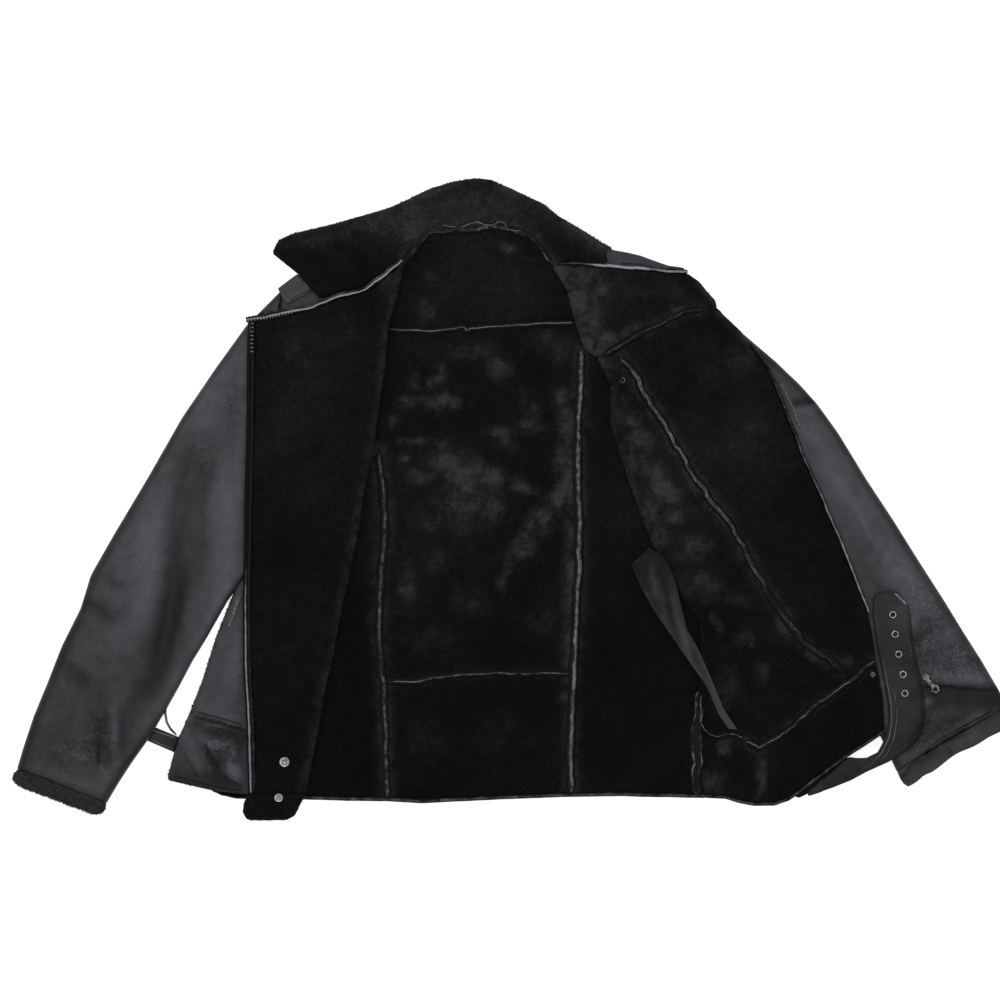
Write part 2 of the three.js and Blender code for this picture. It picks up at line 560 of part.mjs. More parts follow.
// A strip beside a line, such as a binding or a seam ridge
function stripAlong(points, { from, to, under, wall }) {
  const line = lineOf(points);
  const shares = sharedShares(line, line, SPACING.strip);
  const plan = shares.map((share) => {
    const spot = spotAt(line, share);
    const before = spotAt(line, Math.max(0, share - 0.01));
    const ahead = spotAt(line, Math.min(1, share + 0.01)).sub(before).normalize();
    const side = new THREE.Vector2(ahead.y, -ahead.x);
    return [from, (from + to) / 2, to].map((offset) => spot.clone().addScaledVector(side, offset));
  });
  return wallOver(plan, { under, wall, edge: STRIP_EDGE_HEIGHT });
}

const bindings = {
  binding_left_edge: { points: flapEdge, from: 0.4, to: 10, under: FLAP_UNDERSIDE, wall: WALL + 0.5 },
  binding_left_top: { points: flapTop, from: -6.6, to: -0.4, under: FLAP_UNDERSIDE, wall: WALL + 0.8 },
  binding_right_top: { points: [[558, 266], ...lapelTop.slice(1)], from: -5.6, to: -0.5,
    under: underFrontRight, wall: WALL + 0.6 },
  binding_right_edge: { points: frontEdge.slice(2, 12), from: -5, to: -0.5, under: underFrontRight,
    wall: WALL + 0.4 },
  binding_back_hem: { points: join(hemLeft.slice(3), hemCentre, hemRight), from: 0.4, to: 5, under: 0,
    wall: WALL },
  binding_front_hem: { points: frontHem, from: 0.5, to: 4.6, under: underFrontRight, wall: WALL },
};

const onFrontRight = (lift) => (x, y) => underFrontRight(x, y) + WALL + lift;
const onCollar = (x, y) => underCollar(x, y) + COLLAR_WALL + NECK_RIDGE_LIFT;
const ridges = {
  ridge_neck: { points: neck.slice(1, 8), half: 3.4, under: onCollar },
  ridge_yoke: { points: [[390, 330.6], ...yokeCentre.slice(1, 4), [573.5, 323]], half: 3.2, under: ON_BACK },
  ridge_back_left: { points: join([[378.6, 453], ...backLeftUpper.slice(3)], backLeftLower), half: 4.6,
    under: ON_BACK },
  ridge_back_right: { points: join([[581, 351], ...backRightUpper.slice(1)], backRightLower), half: 3.6,
    under: ON_BACK },
  ridge_back_cross: { points: [[388.3, 683.2], ...backCross.slice(1, 5), [569.8, 674]], half: 3.2,
    under: ON_BACK },
  ridge_side_right: { points: [[698.3, 741], [697, 760], [697.5, 790]], half: 4.4,
    under: onFrontRight(SEATED_LIFT) },
  ridge_shoulder_right: { points: lapelSeam.slice(0, 5), half: 3, under: onFrontRight(RIDGE_LIFT) },
  ridge_diagonal: { points: [...diagonalSeam.slice(1, 14), [845, 672.5]], half: 3.2,
    under: onFrontRight(DIAGONAL_LIFT) },
  ridge_hem_right: { points: join(hemSeamRight.slice(3), hemSeamEnd), half: 3.2,
    under: onFrontRight(RIDGE_LIFT) },
};

function trims() {
  for (const [name, strip] of Object.entries(bindings)) add(name, stripAlong(strip.points, strip), 'binding');
  for (const [name, { points, half, under }] of Object.entries(ridges)) {
    add(name, stripAlong(points, { from: -half, to: half, under, wall: RIDGE_HEIGHT }), 'binding');
  }
}

// The pocket bag hangs on the side seam and lies over the back and the opened front
function pocketBag() {
  const frontRegion = { outline: join(valley, hemSeamRight, [...diagonalSeam].reverse()).map(place),
    rise: (x, y) => underFrontRight(x, y) + ON_BACK };
  const over = drapeOver(frontRegion);
  const plan = planBetween({ top: [bagLeft[0], bagRight[0]], bottom: [bagLeft.at(-1), bagRight.at(-1)],
    left: bagLeft, right: bagRight }, SPACING.collar);
  const under = (x, y) => Math.max(ON_BACK, over(x, y)) + BAG_LIFT;
  add('pocket_bag', wallOver(plan, { under, wall: BAG_WALL }), 'pocketing');
}

// A solid for cutting: shared corners are merged first
const wasm = await Module();
wasm.setup();

function cuttable(geometry) {
  const bare = geometry.clone();
  bare.deleteAttribute('normal');
  bare.deleteAttribute('uv');
  const merged = mergeVertices(bare);
  return new wasm.Manifold(new wasm.Mesh({ numProp: 3, vertProperties: merged.attributes.position.array,
    triVerts: new Uint32Array(merged.index.array) }));
}

function drawable(manifold) {
  const { vertProperties, triVerts } = manifold.getMesh();
  const geometry = new THREE.BufferGeometry();
  geometry.setAttribute('position', new THREE.BufferAttribute(vertProperties, 3));
  geometry.setIndex(new THREE.BufferAttribute(triVerts, 1));
  geometry.computeVertexNormals();
  return geometry;
}

// A turned piece about an upright axis: its profile is a closed row of radius and height pairs
function turned(profile, centre, z, segments) {
  const spots = profile.map(([radius, height]) => new THREE.Vector2(radius, height));
  const geometry = new THREE.LatheGeometry([...spots, spots[0].clone()], segments);
  geometry.rotateX(Math.PI / 2);
  geometry.translate(centre.x, centre.y, z);
  return geometry;
}

// The belt: its free end with the eyelets at the right, and the strap beside the left sleeve
function belt() {
  const under = drapeOver(sleeveRegion);
  const plan = planBetween({ top: [strapLeft[0], [886, 590.5], strapRight[0]],
    bottom: [strapLeft.at(-1), strapRight.at(-1)], left: strapLeft, right: strapRight }, SPACING.strap);
  let strap = cuttable(wallOver(plan, { under, wall: STRAP_WALL }));
  const barrelRadius = EYELET.hole + EYELET.barrel;
  const boreRadius = barrelRadius + EYELET.clearance;
  const profile = [[EYELET.hole, -EYELET.depth], [barrelRadius, -EYELET.depth], [barrelRadius, EYELET.lip],
    [EYELET.radius, EYELET.lip], [EYELET.radius - 0.6, EYELET.shoulder], [EYELET.hole + 0.6, EYELET.crown],
    [EYELET.hole, EYELET.crown - 0.5]];
  eyeletPlaces.forEach((spot, i) => {
    const centre = place(spot);
    const top = under(centre.x, centre.y) + STRAP_WALL;
    const bore = new THREE.CylinderGeometry(boreRadius, boreRadius, 4 * EYELET.depth, ROUND_SEGMENTS.small);
    bore.rotateX(Math.PI / 2);
    bore.translate(centre.x, centre.y, top);
    strap = strap.subtract(cuttable(bore));
    add(`eyelet_${i + 1}`, turned(profile, centre, top, ROUND_SEGMENTS.small), 'nickel');
  });
  add('belt_tongue', drawable(strap), 'leather');
  const left = { top: [[155.5, 727.5], [179.3, 737.5]], bottom: [[147.6, 740.5], [174.3, 752]],
    left: [[155.5, 727.5], [147.6, 740.5]], right: [[179.3, 737.5], [174.3, 752]] };
  add('belt_left', wallOver(planBetween(left, SPACING.tab), { wall: STRAP_WALL }), 'leather');
}

// Snaps, the ring and the zips
function hardware() {
  const dome = [[0, 0], [SNAP.radius, 0], [SNAP.radius, SNAP.rim], [SNAP.crownRadius, SNAP.crown],
    [SNAP.topRadius, SNAP.top], [0, SNAP.dimple]];
  const smallDome = dome.map(([radius, height]) => [radius * SMALL_SNAP_SHARE, height]);
  const washer = [[RING.hole, 0], [RING.radius, 0], [RING.radius, RING.rim], [RING.crownRadius, RING.crown],
    [RING.hole, RING.rim]];
  const onFlap = FLAP_UNDERSIDE + WALL + SEAM_GAP;
  const onFront = onFrontRight(SEATED_LIFT);
  add('snap_upper', turned(dome, place(snapPlaces.snap_upper), onFlap, ROUND_SEGMENTS.snap), 'nickel');
  add('snap_lower', turned(dome, place(snapPlaces.snap_lower), onFlap, ROUND_SEGMENTS.snap), 'nickel');
  const stud = place(snapPlaces.snap_right);
  add('snap_right', turned(smallDome, stud, onFront(stud.x, stud.y), ROUND_SEGMENTS.small), 'nickel');
  const ring = place(ringPlace);
  add('ring_right', turned(washer, ring, onFront(ring.x, ring.y), ROUND_SEGMENTS.small), 'nickel');
  const pocketZip = { from: -ZIP_HALF_WIDTH, to: ZIP_HALF_WIDTH, under: ON_FRONT, wall: TRIM_WALL };
  add('pocket_zip_left', stripAlong([[240, 596], [230, 625]], pocketZip), 'nickel');
  const frontZip = { from: -ZIP_HALF_WIDTH, to: ZIP_HIDDEN_HALF, under: ON_SLEEVE, wall: TRIM_WALL };
  add('front_zip_right', stripAlong([[779.5, 383], [790, 406], [798, 427]], frontZip), 'nickel');
}

// The sleeve zip's slider with its pull tab, which swings on the slider
function sleeveZip() {
  const angle = THREE.MathUtils.degToRad(PULL.turn);
  const centre = place(sliderPlace);
  const ahead = new THREE.Vector2(Math.cos(angle), Math.sin(angle));
  const tapeEnds = [-SLIDER.tapeBehind, SLIDER.tapeAhead].map((offset) => {
    const spot = centre.clone().addScaledVector(ahead, offset);
    return [spot.x / STEP + CHART_CENTRE.x, CHART_CENTRE.y - spot.y / STEP];
  });
  const tape = { from: -TAPE_HALF_WIDTH, to: TAPE_HALF_WIDTH, under: ON_SLEEVE, wall: TRIM_WALL };
  add('sleeve_zip_right', stripAlong(tapeEnds, tape), 'nickel');
  const bed = ON_SLEEVE + TRIM_WALL + SEAM_GAP;
  const outline = new THREE.Shape();
  outline.absellipse(0, 0, SLIDER.length / 2, SLIDER.width / 2, 0, Math.PI * 2, false, 0);
  const body = new THREE.ExtrudeGeometry(outline, { depth: SLIDER.height - 2 * SLIDER.bevel,
    bevelThickness: SLIDER.bevel, bevelSize: SLIDER.bevelOut, bevelSegments: 1, curveSegments: 12 });
  body.translate(0, 0, bed + SLIDER.bevel);
  body.rotateZ(angle);
  body.translate(centre.x, centre.y, 0);
  add('zip_slider', body, 'nickel');

  const tab = new THREE.Shape();
  const ringCentre = PULL.stem + PULL.ringRadius - 1;
  const meet = Math.asin(PULL.width / 2 / PULL.ringRadius);
  tab.moveTo(0, PULL.width / 2);
  tab.lineTo(0, -PULL.width / 2);
  tab.absarc(ringCentre, 0, PULL.ringRadius, -Math.PI + meet, Math.PI - meet, false);
  tab.lineTo(0, PULL.width / 2);
  const hole = new THREE.Path();
  hole.absarc(ringCentre, 0, PULL.ringHole, 0, Math.PI * 2, true);
  tab.holes.push(hole);
  const pull = new THREE.ExtrudeGeometry(tab, { depth: PULL.thickness, bevelEnabled: false,
    curveSegments: ROUND_SEGMENTS.ring });
  pull.translate(0, 0, bed + SLIDER.height + SEAM_GAP);
  pull.rotateZ(angle);
  pull.translate(centre.x, centre.y, 0);
  add('pull_tab', pull, 'nickel');
}

back();
frontLeft();
frontRight();
collar();
sleeve('sleeve_left', sleeveLeftRows, 'leather', true);
sleeve('sleeve_right', sleeveRightRows, 'leather', true);
sleeve('cuff_left', cuffLeftRows, 'wool', false);
sleeve('cuff_right', cuffRightRows, 'leather', false);
trims();
pocketBag();
belt();
hardware();
sleeveZip();

export default jacket;
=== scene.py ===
# %% [markdown]
# # A shearling biker jacket, laid open on its back
# The part's solids come in first. They already have the jacket's true outline, its layers and
# its thickness, so every finer piece below starts from them and stays where they are.

# %% Load the part
import math

import bmesh
import bpy
import numpy as np
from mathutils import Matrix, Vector
from mathutils.bvhtree import BVHTree


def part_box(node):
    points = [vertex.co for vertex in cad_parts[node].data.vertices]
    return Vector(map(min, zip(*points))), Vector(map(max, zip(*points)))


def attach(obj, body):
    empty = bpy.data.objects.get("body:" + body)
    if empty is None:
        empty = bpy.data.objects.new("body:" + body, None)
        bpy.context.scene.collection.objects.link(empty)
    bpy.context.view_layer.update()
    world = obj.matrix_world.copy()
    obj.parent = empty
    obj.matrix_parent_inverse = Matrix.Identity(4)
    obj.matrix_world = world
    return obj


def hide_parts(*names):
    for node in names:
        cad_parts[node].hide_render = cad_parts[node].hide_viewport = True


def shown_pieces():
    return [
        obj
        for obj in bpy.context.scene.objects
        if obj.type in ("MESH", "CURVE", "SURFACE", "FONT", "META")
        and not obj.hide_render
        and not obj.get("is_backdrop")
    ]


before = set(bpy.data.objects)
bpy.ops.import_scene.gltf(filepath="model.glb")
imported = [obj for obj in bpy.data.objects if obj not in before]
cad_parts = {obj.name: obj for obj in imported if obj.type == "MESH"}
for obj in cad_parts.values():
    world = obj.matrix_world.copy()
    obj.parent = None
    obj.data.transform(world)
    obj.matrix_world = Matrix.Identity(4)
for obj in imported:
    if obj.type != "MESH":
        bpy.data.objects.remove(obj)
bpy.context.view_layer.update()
scene = bpy.context.scene
MM = 0.001

# %% [markdown]
# Places on the jacket are given on a chart of 1000 by 1000 squares laid over it, 1.2 mm to a
# square, counted right and down. It is easier to say that a crease runs from one square to
# another than to write metres, and one helper turns a square into its place. Another gives
# the rows of every table below their column names.

# %% The chart
STEP = 1.2 * MM
CHART_CENTRE = (512.75, 499.0)


def spot(x, y):
    """The place in metres of a chart square."""
    return np.array([(x - CHART_CENTRE[0]) * STEP, (CHART_CENTRE[1] - y) * STEP])


def chart_of(x, y):
    """The chart square of a place in metres."""
    return x / STEP + CHART_CENTRE[0], CHART_CENTRE[1] - y / STEP


def table(columns, rows):
    """The rows as dictionaries with named columns."""
    return [dict(zip(columns.split(), row)) for row in rows]


print("one chart square is", STEP / MM, "mm")

# %% [markdown]
# Hides are never even. A smooth random field, made from a fixed table of numbers so that every
# run is the same, gives the humps of the wool and the soft undulation of the leather.

# %% Uneven fields
def lattice(column, row, seed):
    """A fixed number from -1 to 1 for each crossing of a grid."""
    mixed = (column * 374761393 + row * 668265263 + seed * 974634777) & 0xFFFFFFFF
    mixed = ((mixed ^ (mixed >> 13)) * 1274126177) & 0xFFFFFFFF
    return ((mixed ^ (mixed >> 16)) & 0xFFFF) / 32767.5 - 1


def drift(x, y, size, seed):
    """A smooth field from -1 to 1 with humps about size apart."""
    u, v = x / size, y / size
    column, row = np.floor(u).astype(np.int64), np.floor(v).astype(np.int64)
    across, along = u - column, v - row
    across, along = across * across * (3 - 2 * across), along * along * (3 - 2 * along)
    near = lattice(column, row, seed) * (1 - across) + lattice(column + 1, row, seed) * across
    far = lattice(column, row + 1, seed) * (1 - across) + lattice(column + 1, row + 1, seed) * across
    return near * (1 - along) + far * along


def cloud(x, y, size, seed, layers=3):
    """Several drifts on each other, each half the size of the one before."""
    total = sum(drift(x, y, size / 2**k, seed + 7 * k) / 2**k for k in range(layers))
    return total / (2 - 2.0 ** (1 - layers))


def ease(value, low, high):
    """0 below low, 1 above high and smooth between them."""
    share = np.clip((value - low) / (high - low), 0, 1)
    return share * share * (3 - 2 * share)


def astray(x, y, reach, size, seeds, layers=3):
    """The chart squares of some places, each led a little astray so that no edge is straight."""
    right, down = chart_of(x, y)
    return (right + reach * cloud(x, y, size, seeds[0], layers),
            down + reach * cloud(x, y, size, seeds[1], layers))


print("field check:", round(float(cloud(np.array([0.1]), np.array([0.2]), 0.03, 5)[0]), 3))

# %% [markdown]
# Much of a jacket follows lines: seams, folds and edges. Two helpers measure them: how far
# along its own length each corner of a line is, and how far any place is from a line.

# %% Measuring lines
FAR_AWAY = 9.0


def gone_along(points):
    """How far along a line each of its points is."""
    return np.concatenate([[0], np.cumsum(np.linalg.norm(np.diff(points, axis=0), axis=1))])


def near_line(x, y, line):
    """How far each place is from a line of chart squares."""
    points = np.array([spot(*square) for square in line])
    nearest = np.full(x.shape, FAR_AWAY)
    for start, step in zip(points, np.diff(points, axis=0)):
        held = np.clip(((x - start[0]) * step[0] + (y - start[1]) * step[1]) / (step @ step), 0, 1)
        away = np.hypot(x - start[0] - step[0] * held, y - start[1] - step[1] * held)
        nearest = np.minimum(nearest, away)
    return nearest


print("a line's lengths:", gone_along(np.array([[0, 0], [3, 4], [3, 5]])))

# %% [markdown]
# Every tree of nodes, for a finish or for a repeated form, is wired with the same two small
# classes. A Wire is one output of a node, and ordinary arithmetic on it adds the Math nodes.

# %% Wiring nodes
class Wire:
    """One output socket. Arithmetic on it adds the Math nodes that work it out."""

    def __init__(self, bench, socket):
        self.bench, self.socket = bench, socket

    def __add__(self, other):
        return self.bench.math("ADD", self, other)

    def __sub__(self, other):
        return self.bench.math("SUBTRACT", self, other)

    def __rsub__(self, other):
        return self.bench.math("SUBTRACT", other, self)

    def __mul__(self, other):
        return self.bench.math("MULTIPLY", self, other)

    __radd__, __rmul__ = __add__, __mul__


class Bench:
    """A tree of nodes with one method that adds any node."""

    def __init__(self, tree):
        self.tree = tree

    def add(self, kind, settings=None, inputs=None, output=0):
        node = self.tree.nodes.new(kind)
        for name, value in (settings or {}).items():
            if name == "stops":
                while len(node.color_ramp.elements) < len(value):
                    node.color_ramp.elements.new(0.5)
                for element, (place, colour) in zip(node.color_ramp.elements, value):
                    element.position, element.color = place, colour
            else:
                setattr(node, name, value)
        for name, value in (inputs or {}).items():
            if isinstance(value, Wire):
                self.tree.links.new(value.socket, node.inputs[name])
            else:
                node.inputs[name].default_value = value
        return Wire(self, node.outputs[output])

    def math(self, operation, first, second=0.0):
        return self.add("ShaderNodeMath", {"operation": operation}, {0: first, 1: second})

    def mix(self, share, low, high):
        """Two colours mixed by a share."""
        return self.add("ShaderNodeMix", {"data_type": "RGBA"}, {0: share, 6: low, 7: high}, output=2)

    def ramp(self, value, low, high):
        """0 to 1 as the value goes from low to high."""
        return self.add("ShaderNodeMapRange", {"interpolation_type": "SMOOTHSTEP"},
                        {"Value": value, "From Min": low, "From Max": high})

    def own(self, name):
        """A number kept on the piece's own points."""
        return self.add("ShaderNodeAttribute", {"attribute_name": name}, output=2)

    def noise(self, place, scale, detail=3.0, roughness=0.55, distortion=0.0):
        return self.add("ShaderNodeTexNoise", {"noise_dimensions": "3D"},
                        {"Vector": place, "Scale": scale, "Detail": detail, "Roughness": roughness,
                         "Distortion": distortion})

    def bump(self, height, distance, strength=1.0, under=None):
        values = {"Height": height, "Distance": distance, "Strength": strength}
        if under is not None:
            values["Normal"] = under
        return self.add("ShaderNodeBump", {}, values)


print("wiring is ready")

# %% [markdown]
# Every finish is made the same way: one shader, whose sockets hold plain values or wires.
# Nearly everything here is black, so a colour is a level of grey with a slight tint.

# %% Making a finish
def finish(name, make):
    """A new finish: make(bench, place) gives what the shader's sockets hold."""
    material = bpy.data.materials.new(name)
    material.use_nodes = True
    material.node_tree.nodes.clear()
    bench = Bench(material.node_tree)
    place = bench.add("ShaderNodeTexCoord", output=3)
    surface = bench.add("ShaderNodeBsdfPrincipled", {}, make(bench, place))
    end = material.node_tree.nodes.new("ShaderNodeOutputMaterial")
    material.node_tree.links.new(surface.socket, end.inputs["Surface"])
    return material


def grey(level, tint=(1.0, 1.0, 1.0)):
    """A near-grey colour."""
    return (level * tint[0], level * tint[1], level * tint[2], 1.0)


VIOLET = (0.98, 0.94, 1.1)
print("the leather's cast:", VIOLET)

# %% [markdown]
# The wool is dyed black and clipped short. Where the pile has been brushed the other way it
# catches the light, in soft blotches, and this sheen is painted into the colour. Each wool
# piece keeps a number on its points that says how strongly, and the finish paints its colour
# lighter there, as painted sheen.

# %% Wool finish
def wool_look(bench, place):
    nap = bench.own("nap")
    warp = bench.add("ShaderNodeVectorMath", {"operation": "MULTIPLY_ADD"}, {
        0: bench.add("ShaderNodeTexNoise", {}, {"Vector": place, "Scale": 38.0, "Detail": 2.0}, output=1),
        1: (0.03, 0.03, 0.0), 2: place})
    blotch = bench.noise(warp, 160.0, 5.0, 0.72)
    curls = bench.noise(place, 430.0, 3.0, 0.6)
    fine = bench.noise(place, 1100.0, 2.0, 0.6)
    # Painted sheen: where the nap number is high, the brushed pile's sheen is painted into the colour as a lighter
    # grey.
    tone = nap + (blotch - 0.5) * (nap * 1.6 + 0.1) + (curls - 0.5) * (nap * 0.9 + 0.1)
    lit = bench.ramp(tone, -0.02, 1.0)
    colour_and_light = bench.mix(lit, grey(0.0049, (1.0, 0.93, 0.97)), grey(0.056, (1.0, 0.955, 1.01)))
    under = bench.bump(blotch, 1.8 * MM, 0.4)
    tuft = bench.bump(curls, 1.3 * MM, 0.7, under)
    return {"Base Color": colour_and_light, "Roughness": 0.95, "Specular IOR Level": 0.06,
            "Sheen Weight": 0.012, "Sheen Roughness": 0.5, "Normal": bench.bump(fine, 0.6 * MM, 0.6, tuft)}


wool = finish("black_wool", wool_look)
print("made", wool.name)

# %% [markdown]
# The leather is the other side of the same hide: black with a slight violet cast and a fine
# pebbled grain. Broad areas are painted lighter or darker, as painted highlights and painted
# shade, and the lines of the fine wrinkles are painted darker, as painted shade. The grain is a
# bump from small cells, and the wrinkles are in the mesh.

# %% Leather finish
def leather_look(bench, place):
    shade = bench.noise(place, 11.0, 5.0, 0.62)
    mottle = bench.noise(place, 70.0, 4.0, 0.6, 0.4)
    rub = bench.own("rub")
    crumple = bench.own("crumple")
    flecks = bench.noise(place, 260.0, 3.0, 0.65)
    wrinkle = bench.noise(place, 120.0, 3.0, 0.55, 1.6)
    web = bench.ramp(bench.math("ABSOLUTE", wrinkle - 0.5), 0.0, 0.07)
    cells = bench.add("ShaderNodeTexVoronoi", {"feature": "F1"}, {"Vector": place, "Scale": 560.0})
    uneven = (shade - 0.5) * 0.3 + (mottle - 0.5) * (0.16 + rub * 0.6)
    # Painted light and shade: the rub number paints highlights and shade into the colour, and the lines of the
    # wrinkle web are painted darker as painted shade.
    tone = rub + uneven + (flecks - 0.5) * rub * 0.4 + (web - 0.8) * crumple * 0.16
    colour_and_light = bench.mix(bench.ramp(tone, -0.2, 1.1), grey(0.0015, VIOLET), grey(0.105, VIOLET))
    folds = bench.bump(web * crumple, 1.2 * MM, 0.8)
    under = bench.bump(mottle, 1.3 * MM, 0.22, folds)
    grain = bench.bump(cells, 0.4 * MM, 0.35, under)
    return {"Base Color": colour_and_light, "Roughness": 0.62 - bench.ramp(shade + mottle * 0.5, 0.4, 1.1) * 0.14,
            "Specular IOR Level": 0.32, "Normal": grain}


leather = finish("black_leather", leather_look)
print("made", leather.name)

# %% [markdown]
# Seam strips and bindings are cut leather whose raw edges have lost some of their dye, and
# their crests are also painted lighter as a painted highlight, so they are the lightest lines on
# the jacket. A number called edge on their points says how near the crest of the strip a point
# is, and so how pale it is painted.

# %% Strip and binding finishes
def strip_look(bench, place):
    edge = bench.own("edge")
    worn = bench.noise(place, 160.0, 4.0, 0.65)
    # Painted highlight: the crest, where the edge number is high, is painted pale, partly as worn raw leather and
    # partly as light.
    colour_and_light = bench.mix(bench.ramp(edge + (worn - 0.5) * 1.1, 0.3, 1.0),
                    grey(0.0085, (1.0, 0.95, 1.0)), grey(0.2, (0.96, 1.0, 1.02)))
    return {"Base Color": colour_and_light, "Roughness": 0.75, "Specular IOR Level": 0.14,
            "Normal": bench.bump(worn, 0.9 * MM, 0.6)}


def binding_look(bench, place):
    edge = bench.own("edge")
    worn = bench.noise(place, 90.0, 4.0, 0.6)
    pores = bench.noise(place, 900.0, 2.0)
    # Painted highlight: the crest, where the edge number is high, is painted pale, partly as worn leather and
    # partly as light.
    colour_and_light = bench.mix(bench.ramp(edge + (worn - 0.5) * 0.8, 0.25, 1.1),
                    grey(0.004, VIOLET), grey(0.34, VIOLET))
    return {"Base Color": colour_and_light, "Roughness": 0.65, "Specular IOR Level": 0.1,
            "Normal": bench.bump(pores, 0.25 * MM, 0.4)}


strip_leather = finish("cut_leather_edge", strip_look)
binding_leather = finish("binding_leather", binding_look)
print("made", strip_leather.name, "and", binding_leather.name)

# %% [markdown]
# The pocket bag is a plain cotton twill: fine slanting ribs, quite matte, and lighter than
# the wool around it. The thread, the nickel and the zip tapes are small and plain.

# %% Twill, thread and metal finishes
def twill_look(bench, place):
    ribs = bench.add("ShaderNodeTexWave", {"bands_direction": "DIAGONAL"},
                     {"Vector": place, "Scale": 260.0, "Distortion": 0.6, "Detail": 1.0})
    shade = bench.noise(place, 60.0, 4.0)
    # The fold number carries painted highlights on the bag's ridges.
    tone = bench.own("fold") + (shade - 0.5) * 0.5
    colour_and_light = bench.mix(bench.ramp(tone, 0.0, 1.0), grey(0.008), grey(0.066))
    return {"Base Color": colour_and_light, "Roughness": 0.85, "Specular IOR Level": 0.2,
            "Normal": bench.bump(ribs, 0.3 * MM, 0.5)}


def thread_look(dark, light, roughness):
    return lambda bench, place: {
        "Base Color": bench.mix(bench.noise(place, 1800.0, 2.0), grey(dark), grey(light)),
        "Roughness": roughness, "Specular IOR Level": 0.4}


def nickel_look(bench, place):
    rub = bench.noise(place, 420.0, 4.0, 0.65)
    colour_and_light = bench.mix(bench.ramp(rub, 0.3, 0.75), grey(0.15, (1.0, 0.98, 0.95)),
                    grey(0.60, (1.0, 0.99, 0.97)))
    return {"Base Color": colour_and_light, "Metallic": 1.0, "Roughness": bench.ramp(rub, 0.2, 0.8) * 0.22 + 0.16,
            "Normal": bench.bump(rub, 0.2 * MM, 0.3)}


def old_nickel_look(bench, place):
    rub = bench.noise(place, 420.0, 4.0, 0.65)
    colour_and_light = bench.mix(bench.ramp(rub, 0.4, 0.62), grey(0.012, (1.0, 0.97, 0.88)),
                    grey(0.2, (1.0, 0.98, 0.88)))
    return {"Base Color": colour_and_light, "Metallic": 1.0, "Roughness": 0.34,
            "Normal": bench.bump(rub, 0.2 * MM, 0.3)}


twill = finish("pocket_twill", twill_look)
thread = finish("black_thread", thread_look(0.02, 0.09, 0.6))
# Painted highlight: a paler copy of the black thread, for the stitches at the flap's lit corner.
highlit_thread = finish("thread_highlight", thread_look(0.16, 0.42, 0.55))
nickel = finish("bright_nickel", nickel_look)
old_nickel = finish("dull_nickel", old_nickel_look)
print("finishes:", len(bpy.data.materials))

# %% [markdown]
# The camera looks straight down from far away through a long lens, so that the layers, which
# lie up to 30 mm above each other, don't shift against one another towards the edges.

# %% Camera
VIEW_WIDTH = 1000 * STEP
CAMERA_HEIGHT = 10.0
SENSOR = 36.0
camera_data = bpy.data.cameras.new("overhead")
camera_data.sensor_width = SENSOR
camera_data.lens = SENSOR * CAMERA_HEIGHT / VIEW_WIDTH
camera = bpy.data.objects.new("overhead", camera_data)
camera.location = (*spot(500, 500), CAMERA_HEIGHT)
scene.collection.objects.link(camera)
scene.camera = camera
camera_data.clip_end = 100.0
print("lens:", round(camera_data.lens, 1), "mm")

# %% [markdown]
# The light is that of a product table: a big soft panel straight above, weaker ones beyond the
# collar and at the sides, and a dim surround. What faces up is bright and what turns away is
# dark, so folds and rolled edges read. The table's white top glows a little, as a light table
# does, which takes the shadows away as in the picture.

# %% Floor and light
FLOOR_HALF = 9.0
FLOOR_HEIGHT = -0.6 * MM


def pale_floor():
    mesh = bpy.data.meshes.new("floor")
    corners = [(x * FLOOR_HALF, y * FLOOR_HALF, FLOOR_HEIGHT)
               for x, y in ((-1, -1), (1, -1), (1, 1), (-1, 1))]
    mesh.from_pydata(corners, [], [(0, 1, 2, 3)])
    floor = bpy.data.objects.new("floor", mesh)
    scene.collection.objects.link(floor)
    mesh.materials.append(finish("floor_white", lambda bench, place: {
        "Base Color": (0.9, 0.9, 0.9, 1.0), "Roughness": 0.9, "Specular IOR Level": 0.1,
        "Emission Color": (1.0, 1.0, 1.0, 1.0), "Emission Strength": 0.75}))
    floor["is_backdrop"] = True


def soft_panel(name, place, size, radiance):
    """A square soft light of a given brightness that looks at the jacket's middle."""
    data = bpy.data.lights.new(name, "AREA")
    data.shape, data.size, data.energy = "SQUARE", size, radiance * math.pi * size * size
    light = bpy.data.objects.new(name, data)
    light.location = place
    light.rotation_euler = (-Vector(place)).to_track_quat("-Z", "Y").to_euler()
    light.visible_camera = False
    scene.collection.objects.link(light)


pale_floor()
soft_panel("overhead_panel", (0.0, 0.3, 2.6), 2.2, 1.35)
soft_panel("beyond_collar", (-0.3, 2.6, 1.3), 1.4, 1.8)
soft_panel("from_left", (-2.6, 0.2, 1.2), 1.2, 1.0)
surround = bpy.data.worlds.new("surround")
scene.world = surround
surround.use_nodes = True
surround.node_tree.nodes["Background"].inputs["Color"].default_value = (1.0, 1.0, 1.0, 1.0)
surround.node_tree.nodes["Background"].inputs["Strength"].default_value = 0.42
scene.view_settings.view_transform = "Standard"

# %% [markdown]
# A panel of hide can be made finer by covering its solid with an even net of small faces. A
# remesh does that whatever the outline is, and it also rounds the cut edges, as wool does.
# The net is then moved point by point with plain arithmetic.

# %% Even nets from the solids
MERGE = 0.01 * MM


def mesh_from(node):
    """A copy of a solid's faces with its shared corners merged."""
    shape = bmesh.new()
    shape.from_mesh(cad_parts[node].data)
    bmesh.ops.remove_doubles(shape, verts=shape.verts, dist=MERGE)
    mesh = bpy.data.meshes.new(node + "_copy")
    shape.to_mesh(mesh)
    shape.free()
    return mesh


